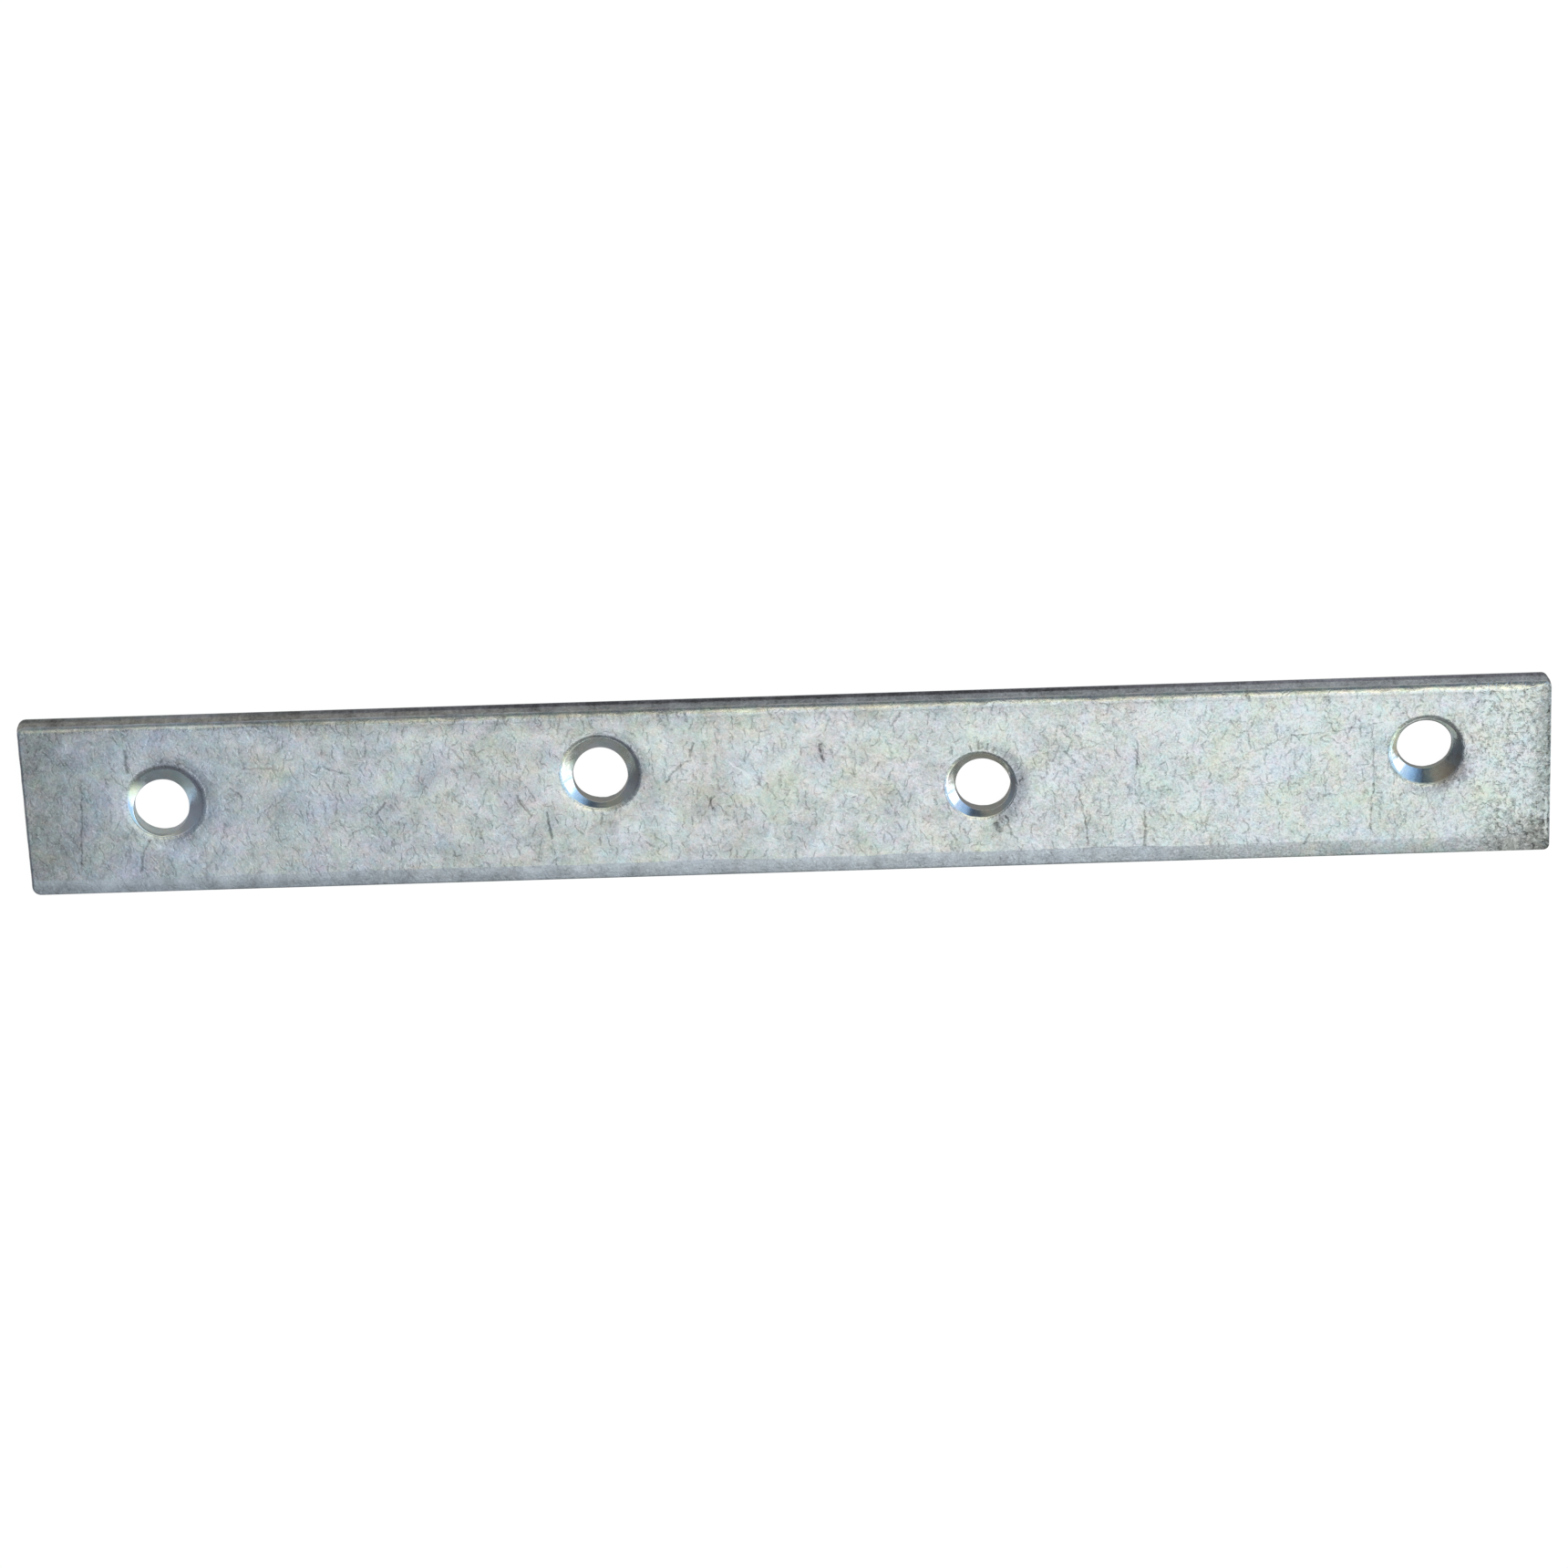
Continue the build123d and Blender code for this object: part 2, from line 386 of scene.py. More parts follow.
def hole_loops(name, hx, hy, wall_r, rim_r, ox, oy, half_angle, rim_round):
    phi = np.linspace(0, 2 * math.pi, N_RING, endpoint=False)
    c, s = np.cos(phi), np.sin(phi)
    seed = 100 + int(name[-1]) * 17
    sx, sy = hx + ox, hy + oy
    # the rim is not a true circle, and the pressed cone is slightly uneven
    rough_rim = 0.035 * noise(2.2 * c + 5, 2.2 * s, seed) + 0.015 * noise(7 * c, 7 * s, seed + 1)
    k_face, k_rim, k_cone, k_lip, k_wall, k_flare, k_foot, k_back = 8, 8, 10, 4, 4, 3, 3, 4
    loops, tag = [], []

    def soft(d):
        low = np.zeros_like(phi)
        for depth, reach, bearing in SOFT[name]:
            lobe = (0.5 + 0.5 * np.cos(phi - math.radians(bearing))) ** 1.6
            low = low + depth * lobe * np.exp(-((np.clip(d, 0, None) / reach) ** 2))
        return low

    # the line of the cone at each bearing meets the wall at r_in, z_in
    along = ox * c + oy * s
    r_in = -along + np.sqrt(along**2 - ox**2 - oy**2 + wall_r**2)
    z_in = np.maximum(T - (rim_r + 0.6 * rough_rim - r_in) / math.tan(half_angle), WALL_FOOT + 0.10)
    wx, wy = sx + r_in * c - hx, sy + r_in * s - hy
    cw, sw = wx / np.hypot(wx, wy), wy / np.hypot(wx, wy)
    tan = rim_round * math.tan((math.pi / 2 - half_angle) / 2)
    # face, out to in
    for d in np.linspace(HOLE_OUT, tan, k_face):
        r = rim_r + d + rough_rim * (1 - smooth(0.3, HOLE_OUT, d))
        loops.append((sx + r * c, sy + r * s, T - soft(d)))
        tag.append(0)
    # rim: from the face onto the cone
    rd, rz = -tan * math.sin(half_angle), -tan * math.cos(half_angle)
    for i in range(1, k_rim + 1):
        t = i / k_rim
        d = (1 - t) ** 2 * tan + t * t * rd
        z = t * t * rz
        sag = soft(d) * (1 - 0.75 * t)
        r = rim_r + rough_rim + d
        loops.append((sx + r * c, sy + r * s, T + z - sag))
        tag.append(1)
    # cone, down to the lip
    LIP = 0.05
    r0, z0 = rim_r + rough_rim + rd, T + rz - soft(0.0) * 0.25
    r1, z1 = r_in + LIP * math.sin(half_angle), z_in + LIP * math.cos(half_angle)
    for i in range(1, k_cone + 1):
        t = i / k_cone
        bump = 0.010 * noise(1.6 * c + 9, 1.6 * s + 2 * t, seed + 2) + 0.005 * noise(4.5 * c, 4.5 * s + 5 * t, seed + 3)
        r = r0 + (r1 - r0) * t + bump * math.sin(math.pi * t)
        z = z0 + (z1 - z0) * t
        loops.append((sx + r * c, sy + r * s, z))
        tag.append(2)
    # the lip between the cone and the wall
    for i in range(1, k_lip + 1):
        t = i / k_lip
        r = r_in + (1 - t) ** 2 * (r1 - r_in)
        z = (1 - t) ** 2 * z1 + 2 * t * (1 - t) * z_in + t * t * (z_in - LIP)
        loops.append((sx + r * c, sy + r * s, z))
        tag.append(3)
    uneven = 0.005 * noise(14 * cw, 14 * sw, seed + 4)
    for i in range(1, k_wall + 1):
        t = i / k_wall
        r = wall_r + uneven * min(1.0, 3 * t)
        z = z_in - LIP + (WALL_FOOT - z_in + LIP) * t
        loops.append((hx + r * cw, hy + r * sw, z))
        tag.append(4)
    for i in range(1, k_flare + 1):
        t = i / k_flare
        z = np.full_like(phi, WALL_FOOT * (1 - t) + 0.05 * t)
        r = wall_r + uneven + FLARE * (t * 0.85) + 0.022 * t * fbm(6 * cw, 6 * sw + 3 * t, seed + 5, 2)
        loops.append((hx + r * cw, hy + r * sw, z))
        tag.append(5)
    for i in range(1, k_foot + 1):
        t = i / k_foot
        r = wall_r + FLARE * 0.85 + 0.08 * t * t + (1 - t) * (uneven + 0.022 * fbm(6 * cw, 6 * sw + 3, seed + 5, 2))
        z = np.full_like(phi, 0.05 * (1 - t) ** 2)
        loops.append((hx + r * cw, hy + r * sw, z))
        tag.append(6)
    r_end = wall_r + FLARE * 0.85 + 0.08
    for d in np.linspace(0, 1.1, k_back + 1)[1:]:
        loops.append((hx + (r_end + d) * cw, hy + (r_end + d) * sw, np.zeros_like(phi)))
        tag.append(7)
    ends = (np.array([sx, sy]), rim_r + HOLE_OUT), (np.array([hx, hy]), r_end + 1.1)
    return np.array(loops).transpose(0, 2, 1).copy(), np.array(tag), phi, ends


# ---------------------------------------------------------------------------
# Gather the vertices and faces
# ---------------------------------------------------------------------------
verts, quads, tris = [], [], []
attr = {a: [] for a in ("land", "fracture", "roll", "arris", "sink", "rim", "wall")}
uv_q, uv_t = [], []  # per face corner, (region, u in mm, v in mm)
count = 0


def put(points, **values):
    global count
    start = count
    n = len(points)
    verts.append(points)
    for a in attr:
        v = values.get(a, 0.0)
        attr[a].append(np.broadcast_to(np.asarray(v, float), (n,)).copy())
    count += n
    return start


face_part = np.isin(STRETCH, [0, 1])
back_part = np.isin(STRETCH, [4, 5])
# heights: the face's waviness dies out down the edge
top_w = np.where(STRETCH <= 1, 1.0, 0.0)[:, None] * smooth(T - 0.6, T, P[..., 2])
bot_w = np.where(STRETCH >= 4, 1.0, 0.0)[:, None] * smooth(0.5, 0.0, P[..., 2])
P[..., 2] += top_w * top_shift(P[..., 0], P[..., 1]) + bot_w * back_shift(P[..., 0], P[..., 1])
loop0 = put(
    P.reshape(-1, 3), land=LAND.ravel(), fracture=FRACTURE.ravel(), roll=ROLL.ravel(), arris=ARRIS_B.ravel()
)
prof_len = np.concatenate(
    [np.zeros((1, J)), np.cumsum(np.linalg.norm(np.diff(P, axis=0), axis=2), axis=0)]
)
kk, jj = np.meshgrid(np.arange(K - 1), np.arange(J), indexing="ij")
j2 = (jj + 1) % J
q = np.stack([kk * J + jj, (kk + 1) * J + jj, (kk + 1) * J + j2, kk * J + j2], -1) + loop0
quads.append(q.reshape(-1, 4))
band = np.select([kk < N_FLAT + N_ARC - 1, kk >= K - N_FLAT - 1], [0, 1], 2)
su = np.stack([S[jj], S[jj], S[jj + 1], S[jj + 1]], -1)
sv = np.stack([prof_len[kk, jj], prof_len[kk + 1, jj], prof_len[kk + 1, j2], prof_len[kk, j2]], -1)
px, py = P[..., 0].ravel()[q - loop0], P[..., 1].ravel()[q - loop0]
planar = (band != 2)[..., None]
uv_q.append(
    np.stack(
        [np.broadcast_to(band[..., None], su.shape), np.where(planar, px, su), np.where(planar, py, sv)], -1
    ).reshape(-1, 4, 3)
)

hole_rims, hole_backs = [], []
for name, hx, hy, wall_r, rim_r, ox, oy, half_angle, rim_round in HOLES:
    H, tag, phi, ends = hole_loops(name, hx, hy, wall_r, rim_r, ox, oy, half_angle, rim_round)
    kh, n = H.shape[:2]
    on_top = (tag <= 1)[:, None] * smooth(T - 0.5, T - 0.05, H[..., 2])
    on_back = (tag == 7)[:, None] * np.ones((1, n))
    H[..., 2] += on_top * top_shift(H[..., 0], H[..., 1]) + on_back * back_shift(H[..., 0], H[..., 1])
    rim_band = np.where(tag == 1, 1.0, 0.0)
    face_d = np.hypot(H[..., 0] - hx - ox, H[..., 1] - hy - oy) - rim_r
    rim_v = np.where((tag <= 1)[:, None], np.exp(-((np.clip(face_d, 0, None) / 0.45) ** 2)), 0.0)
    rim_v = np.where((tag == 2)[:, None], smooth(T - 0.7, T - 0.1, H[..., 2]), rim_v)
    ones = np.ones((1, n))
    start = put(
        H.reshape(-1, 3),
        sink=(np.isin(tag, [2, 3])[:, None] * ones).ravel(),
        rim=rim_v.ravel(),
        wall=(np.isin(tag, [4, 5])[:, None] * ones).ravel(),
    )
    kk, jj = np.meshgrid(np.arange(kh - 1), np.arange(n), indexing="ij")
    j2 = (jj + 1) % n
    q = np.stack([kk * n + jj, kk * n + j2, (kk + 1) * n + j2, (kk + 1) * n + jj], -1) + start
    quads.append(q.reshape(-1, 4))
    length = np.concatenate([np.zeros((1, n)), np.cumsum(np.linalg.norm(np.diff(H, axis=0), axis=2), axis=0)])
    k_top = int((tag <= 1).sum()) - 4
    k_bot = int((tag <= 6).sum()) - 1
    index = int(name[-1])
    reg = np.select([kk < k_top, kk >= k_bot], [0, 1], 2 + index)
    arc = 3.2 * np.concatenate([phi, [2 * math.pi]])
    su = np.stack([arc[jj], arc[jj + 1], arc[jj + 1], arc[jj]], -1)
    base = length[k_top].mean()
    sv = np.stack([length[kk, jj], length[kk, j2], length[kk + 1, j2], length[kk + 1, jj]], -1) - base
    px, py = H[..., 0].ravel()[q - start], H[..., 1].ravel()[q - start]
    planar = (reg < 2)[..., None]
    uv_q.append(
        np.stack(
            [np.broadcast_to(reg[..., None], su.shape), np.where(planar, px, su), np.where(planar, py, sv)], -1
        ).reshape(-1, 4, 3)
    )
    hole_rims.append((start,) + ends[0])
    hole_backs.append((start + (kh - 1) * n,) + ends[1])


def fill(outer_start, outer_n, rings, pitch, shift, z, flip):
    """Fills between the outer loop and the hole rings with near-even triangles."""
    allv = np.concatenate(verts)
    pts, index, edges = [], [], []
    loops = [(outer_start, outer_n)] + [(r[0], N_RING) for r in rings]
    for start, n in loops:
        first = len(pts)
        for i in range(n):
            pts.append(tuple(allv[start + i, :2]))
            index.append(start + i)
        edges += [(first + i, first + (i + 1) % n) for i in range(n)]
    x0, y0 = allv[outer_start : outer_start + outer_n, :2].min(0)
    x1, y1 = allv[outer_start : outer_start + outer_n, :2].max(0)
    nxp, nyp = int(round((x1 - x0) / pitch)), int(round((y1 - y0) / (pitch * 0.866)))
    gx, gy = [], []
    for j in range(1, nyp):
        y = y0 + (y1 - y0) * j / nyp
        off = 0.5 if j % 2 else 0.0
        for i in range(1, nxp):
            gx.append(x0 + (x1 - x0) * (i - off + 0.25) / nxp)
            gy.append(y)
    gx, gy = np.array(gx), np.array(gy)
    keep = (gx > x0 + 0.45 * pitch) & (gx < x1 - 0.45 * pitch) & (gy > y0 + 0.45 * pitch) & (gy < y1 - 0.45 * pitch)
    for _, c, r in rings:
        keep &= np.hypot(gx - c[0], gy - c[1]) > r + 0.4 * pitch
    gx, gy = gx[keep], gy[keep]
    first = len(pts)
    pts += list(zip(gx, gy))
    out_v, _, out_f, orig, _, _ = delaunay_2d_cdt([Vector(p) for p in pts], edges, [], 0, 1e-7)
    assert len(out_v) == len(pts), (len(out_v), len(pts))
    new = put(np.column_stack([gx, gy, z + shift(gx, gy)]))
    index += list(range(new, new + len(gx)))
    where = np.zeros(len(out_v), int)
    for i, o in enumerate(orig):
        where[i] = index[o[0]]
    f = np.array([list(t) for t in out_f])
    xy = np.array([[v[0], v[1]] for v in out_v])
    mid = xy[f].mean(1)
    ok = np.ones(len(f), bool)
    for _, c, r in rings:
        inside = np.hypot(mid[:, 0] - c[0], mid[:, 1] - c[1]) < r - 0.05
        ok &= ~inside
    f = f[ok]
    a, b, c = xy[f[:, 0]], xy[f[:, 1]], xy[f[:, 2]]
    area = (b[:, 0] - a[:, 0]) * (c[:, 1] - a[:, 1]) - (b[:, 1] - a[:, 1]) * (c[:, 0] - a[:, 0])
    wrong = (area < 0) != flip
    f[wrong] = f[wrong][:, ::-1]
    tris.append(where[f])
    region = 1 if flip else 0
    uv = np.concatenate([np.full(f.shape + (1,), float(region)), xy[f]], -1)
    uv_t.append(uv)


fill(loop0, J, hole_rims, 0.42, top_shift, T, False)
fill(loop0 + (K - 1) * J, J, hole_backs, 0.9, back_shift, 0.0, True)

V = np.concatenate(verts)
Q = np.concatenate(quads)
TR = np.concatenate(tris)
n_tri = 2 * len(Q) + len(TR)
print("plate mesh:", len(V), "vertices,", n_tri, "triangles")

mesh = bpy.data.meshes.new("mending_plate_detail")
mesh.vertices.add(len(V))
mesh.vertices.foreach_set("co", (V * MM).astype(np.float32).ravel())
loops = np.concatenate([Q.ravel(), TR.ravel()])
mesh.loops.add(len(loops))
mesh.loops.foreach_set("vertex_index", loops.astype(np.int32))
starts = np.concatenate([np.arange(len(Q)) * 4, len(Q) * 4 + np.arange(len(TR)) * 3])
mesh.polygons.add(len(starts))
mesh.polygons.foreach_set("loop_start", starts.astype(np.int32))
mesh.update(calc_edges=True)
assert not mesh.validate(verbose=True)
mesh.polygons.foreach_set("use_smooth", np.ones(len(starts), bool))
for a, parts in attr.items():
    layer = mesh.attributes.new(a, "FLOAT", "POINT")
    layer.data.foreach_set("value", np.concatenate(parts).astype(np.float32))

# A map for the model's own textures: the face in two halves at the finest
# scale, then the edges and the hole walls, then the back.
UV = np.concatenate([np.concatenate(uv_q).reshape(-1, 3), np.concatenate(uv_t).reshape(-1, 3)])
PX = 1024.0
face_px = 13.35
uv = np.zeros((len(UV), 2))
corner_face = np.concatenate([np.repeat(np.arange(len(Q)), 4), len(Q) + np.repeat(np.arange(len(TR)), 3)])
n_faces = len(starts)
mid_u = np.bincount(corner_face, UV[:, 1], n_faces) / np.bincount(corner_face, minlength=n_faces)
mid_u = mid_u[corner_face]
region = UV[:, 0].round().astype(int)
rows_top = 8
half = 18.0 * face_px + 12
m = region == 0
left = m & (mid_u < 0)
right = m & (mid_u >= 0)
uv[left] = np.column_stack([(UV[left, 1] + HX) * face_px + 8, (UV[left, 2] + HY) * face_px + 6])
uv[right] = np.column_stack([UV[right, 1] * face_px + 12, (UV[right, 2] + HY) * face_px + 6 + half])
# edges, in five lengths
wall_px = 13.0
wall_row = 64.0
base_v = 2 * half + 6
wall_low = float(UV[region == 2, 2].min())
cut = S[-1] / 5 + 0.5
m = region == 2
piece = np.clip((mid_u[m] // cut).astype(int), 0, 4)
uv[m] = np.column_stack(
    [(UV[m, 1] - piece * cut) * wall_px + 10, (UV[m, 2] - wall_low) * wall_px + base_v + piece * wall_row]
)
base_v += 5 * wall_row
back_px = 6.6
m = region == 1
uv[m] = np.column_stack([(UV[m, 1] + HX) * back_px + 8, (UV[m, 2] + HY) * back_px + base_v + 4])
base_v += 18 * back_px + 12
for index in range(4):
    m = region == 3 + index
    uv[m] = np.column_stack([UV[m, 1] * 12.0 + 8 + index * 252, UV[m, 2] * 12.0 + base_v + 4])
print("map rows used:", round(uv[:, 1].max(), 1), "columns:", round(uv[:, 0].max(), 1), "wall:", float(UV[region == 2, 2].max()) - wall_low, [float(UV[region == 3 + i, 2].max() - UV[region == 3 + i, 2].min()) for i in range(4)])
layer = mesh.uv_layers.new(name="OFBake")
layer.data.foreach_set("uv", (uv / PX).astype(np.float32).ravel())

plate = bpy.data.objects.new("zinc_plate", mesh)
bpy.context.scene.collection.objects.link(plate)


# ---------------------------------------------------------------------------
# Material: bright zinc plating, scuffed
# ---------------------------------------------------------------------------
class Nodes:
    """Short names for building a node tree."""

    def __init__(self, tree):
        self.tree = tree

    def add(self, kind, **props):
        n = self.tree.nodes.new(kind)
        for k, v in props.items():
            setattr(n, k, v)
        return n

    def put(self, socket, value):
        if isinstance(value, bpy.types.NodeSocket):
            self.tree.links.new(value, socket)
        else:
            socket.default_value = value

    def math(self, op, a, b=None, c=None, clamp=False):
        n = self.add("ShaderNodeMath", operation=op, use_clamp=clamp)
        for i, v in enumerate((a, b, c)):
            if v is not None:
                self.put(n.inputs[i], v)
        return n.outputs[0]

    def mul(self, a, b):
        return self.math("MULTIPLY", a, b)

    def addv(self, a, b):
        return self.math("ADD", a, b)

    def sub(self, a, b):
        return self.math("SUBTRACT", a, b)

    def maxv(self, *v):
        out = v[0]
        for w in v[1:]:
            out = self.math("MAXIMUM", out, w)
        return out

    def vec(self, op, a, b=None, scale=None):
        n = self.add("ShaderNodeVectorMath", operation=op)
        self.put(n.inputs[0], a)
        if b is not None:
            self.put(n.inputs[1], b)
        if scale is not None:
            self.put(n.inputs["Scale"], scale)
        return n.outputs["Value"] if op in ("DOT_PRODUCT", "LENGTH", "DISTANCE") else n.outputs["Vector"]

    def smooth(self, lo, hi, v):
        n = self.add("ShaderNodeMapRange", interpolation_type="SMOOTHSTEP")
        self.put(n.inputs["Value"], v)
        self.put(n.inputs["From Min"], lo)
        self.put(n.inputs["From Max"], hi)
        return n.outputs["Result"]

    def ramp(self, lo, hi, a, b, v):
        n = self.add("ShaderNodeMapRange")
        self.put(n.inputs["Value"], v)
        for key, value in (("From Min", lo), ("From Max", hi), ("To Min", a), ("To Max", b)):
            self.put(n.inputs[key], value)
        return n.outputs["Result"]

    def noise(self, v, scale, detail=2.0, rough=0.5, distortion=0.0, offset=(0, 0, 0)):
        if any(offset):
            v = self.vec("ADD", v, offset)
        n = self.add("ShaderNodeTexNoise")
        self.put(n.inputs["Vector"], v)
        self.put(n.inputs["Scale"], scale)
        self.put(n.inputs["Detail"], detail)
        self.put(n.inputs["Roughness"], rough)
        self.put(n.inputs["Distortion"], distortion)
        return n.outputs["Fac"]

    def turned(self, v, degrees, scale, offset=(0, 0, 0)):
        n = self.add("ShaderNodeVectorRotate", rotation_type="Z_AXIS")
        self.put(n.inputs["Vector"], v)
        n.inputs["Angle"].default_value = math.radians(degrees)
        out = self.vec("MULTIPLY", n.outputs[0], scale)
        return self.vec("ADD", out, offset)

    def ridge(self, fac, width):
        """Thin lines where the noise crosses its middle."""
        off = self.math("ABSOLUTE", self.sub(fac, 0.5))
        return self.smooth(width, 0.0, off)

    def along(self, x, points):
        """A value set at places along the plate and blended between them."""
        node = self.add("ShaderNodeValToRGB")
        steps = node.color_ramp
        steps.interpolation = "LINEAR"
        while len(steps.elements) < len(points):
            steps.elements.new(0.5)
        for e, (at, value) in zip(steps.elements, points):
            e.position = (at + 80.0) / 160.0
        for e, (at, value) in zip(steps.elements, points):
            e.color = (0.5 * (value + 1.0),) * 3 + (1,)
        self.put(node.inputs["Fac"], self.math("MULTIPLY_ADD", x, 1 / 160.0, 0.5))
        split = self.add("ShaderNodeSeparateColor")
        self.put(split.inputs[0], node.outputs["Color"])
        return self.math("MULTIPLY_ADD", split.outputs[0], 2.0, -1.0)

    def mix(self, a, b, t, mode="MIX"):
        n = self.add("ShaderNodeMix", data_type="RGBA", blend_type=mode)
        self.put(n.inputs["Factor"], t)
        self.put(n.inputs[6], a)
        self.put(n.inputs[7], b)
        return n.outputs[2]


mat = bpy.data.materials.new("zinc_plating")
mat.use_nodes = True
mat.node_tree.nodes.clear()
g = Nodes(mat.node_tree)
tc = g.add("ShaderNodeTexCoord")
pos = g.vec("SCALE", tc.outputs["Object"], scale=1000.0)  # millimetres
sep = g.add("ShaderNodeSeparateXYZ")
g.put(sep.inputs[0], pos)
X, Y, Z = sep.outputs


def zone(name):
    return g.add("ShaderNodeAttribute", attribute_name=name).outputs["Fac"]


land, fracture, roll, arris, sink, rim, wall = (zone(a) for a in ("land", "fracture", "roll", "arris", "sink", "rim", "wall"))
edge = g.math("MAXIMUM", g.math("MAXIMUM", land, fracture), wall)
holes_zone = g.math("MAXIMUM", sink, wall)
open_face = g.sub(1.0, g.math("MAXIMUM", edge, sink, clamp=True))

# soft mottle, from broad clouds to fine grain
blotch = g.noise(pos, 0.34, 2.0, 0.5, 0.5, offset=(21, 5, 0))
patch = g.noise(pos, 1.0, 2.0, 0.55, 0.6, offset=(81, 25, 0))
grain = g.noise(pos, 2.6, 2.0, 0.6, 0.9, offset=(3, 17, 0))
fine = g.noise(pos, 5.2, 1.0, 0.6, 0.4, offset=(11, 2, 0))
far_end = g.smooth(63.5, 70.5, X)  # the +X end was scraped and pitted when it was cropped
dull_and_shaded_end = g.smooth(-58.0, -69.0, X)  # the -X end is rougher, and its face is painted darker there as shade


def tint_noise(scale, offset):
    n = g.add("ShaderNodeTexNoise")
    g.put(n.inputs["Vector"], g.vec("ADD", pos, offset))
    n.inputs["Scale"].default_value = scale
    n.inputs["Detail"].default_value = 2.0
    n.inputs["Roughness"].default_value = 0.55
    n.inputs["Distortion"].default_value = 0.5
    return g.vec("SUBTRACT", n.outputs["Color"], (0.5, 0.5, 0.5))


tint_low = tint_noise(0.26, (31, 40, 0))
tint_mid = tint_noise(1.1, (71, 12, 0))
tint_fine = tint_noise(3.2, (17, 112, 0))
wobbly = g.vec("ADD", pos, g.vec("MULTIPLY", tint_mid, (0.9, 0.9, 0.0)))


layer_before = [None]


def shifted(dx, dy):
    """Where a layer looks. Each layer waits for the one before it, so that the
    material holds few values at once; the shift this gives it is far too small to see."""
    if layer_before[0] is None:
        return (dx, dy, 0.0)
    n = g.add("ShaderNodeCombineXYZ")
    g.put(n.inputs[0], g.math("MULTIPLY_ADD", layer_before[0], 1e-5, dx))
    n.inputs[1].default_value = dy
    return n.outputs[0]


def strokes(scale, seed, base, spread, half_len, half_w, bend, keep):
    """Separate short strokes, one to a cell: each has its own direction, bow and strength."""
    where = g.vec("ADD", wobbly, shifted(seed * 7.3, seed * 3.1))
    cell = g.add("ShaderNodeTexVoronoi", voronoi_dimensions="2D", feature="F1")
    g.put(cell.inputs["Vector"], where)
    cell.inputs["Scale"].default_value = scale
    away = g.vec("SUBTRACT", where, cell.outputs["Position"])
    dice = g.add("ShaderNodeSeparateColor")
    g.put(dice.inputs[0], cell.outputs["Color"])
    turn = g.add("ShaderNodeVectorRotate", rotation_type="Z_AXIS")
    g.put(turn.inputs["Vector"], away)
    g.put(turn.inputs["Angle"], g.math("MULTIPLY_ADD", dice.outputs[0], -2 * math.radians(spread), math.radians(spread - base)))
    local = g.add("ShaderNodeSeparateXYZ")
    g.put(local.inputs[0], turn.outputs[0])
    q = g.mul(local.outputs[0], local.outputs[0])
    bow = g.math("MULTIPLY_ADD", dice.outputs[1], 2 * bend, -bend)
    off = g.math("ABSOLUTE", g.math("MULTIPLY_ADD", q, bow, local.outputs[1]))
    body = g.smooth(half_w, half_w * 0.25, off)
    ends = g.smooth(half_len**2, (half_len * 0.5) ** 2, q)
    strength = g.smooth(1.0 - keep, 1.0 - keep + 0.45, dice.outputs[2])
    layer_before[0] = g.mul(g.mul(body, ends), strength)
    return layer_before[0]


def lines(degrees, across, along, seed, width, where):
    """Long thin wandering lines, broken up by the softer mottle."""
    v = g.turned(wobbly, degrees, (across, along, 1.0), offset=shifted(seed * 3.7, seed * 1.9))
    layer_before[0] = g.mul(g.ridge(g.noise(v, 1.0, 1.0, 0.6, 0.7), width), where)
    return layer_before[0]


dark_hair = g.maxv(
    strokes(0.62, 1, 95, 34, 0.85, 0.125, 0.22, 0.70),
    strokes(0.80, 2, 100, 48, 0.62, 0.115, 0.40, 0.65),
    strokes(0.75, 3, 60, 60, 0.55, 0.110, 0.55, 0.60),
    g.mul(strokes(1.25, 4, 90, 90, 0.30, 0.110, 0.60, 0.65), 0.8),
)
light_hair = g.maxv(
    strokes(0.60, 6, -42, 26, 0.55, 0.105, 0.30, 0.55),
    g.mul(strokes(1.10, 7, 90, 90, 0.30, 0.105, 0.50, 0.65), 0.9),
    g.mul(strokes(1.50, 8, 90, 90, 0.12, 0.120, 0.0, 0.50), 0.9),
)
here, there = g.smooth(0.47, 0.56, patch), g.smooth(0.53, 0.44, patch)
thin_dark = g.maxv(lines(12, 1.5, 0.62, 1, 0.045, here), lines(-38, 1.7, 0.8, 2, 0.045, there), lines(75, 1.9, 0.9, 3, 0.040, here))
thin_light = g.maxv(lines(44, 1.6, 0.7, 4, 0.045, there), lines(-12, 2.0, 0.9, 5, 0.040, here))
pits = g.mul(g.smooth(0.51, 0.62, g.noise(pos, 1.6, 2.0, 0.65, 0.8, offset=(5, 146, 9))), far_end)
scrape = g.mul(g.smooth(0.51, 0.61, g.noise(pos, 1.9, 2.0, 0.65, 0.8, offset=(65, 46, 9))), far_end)

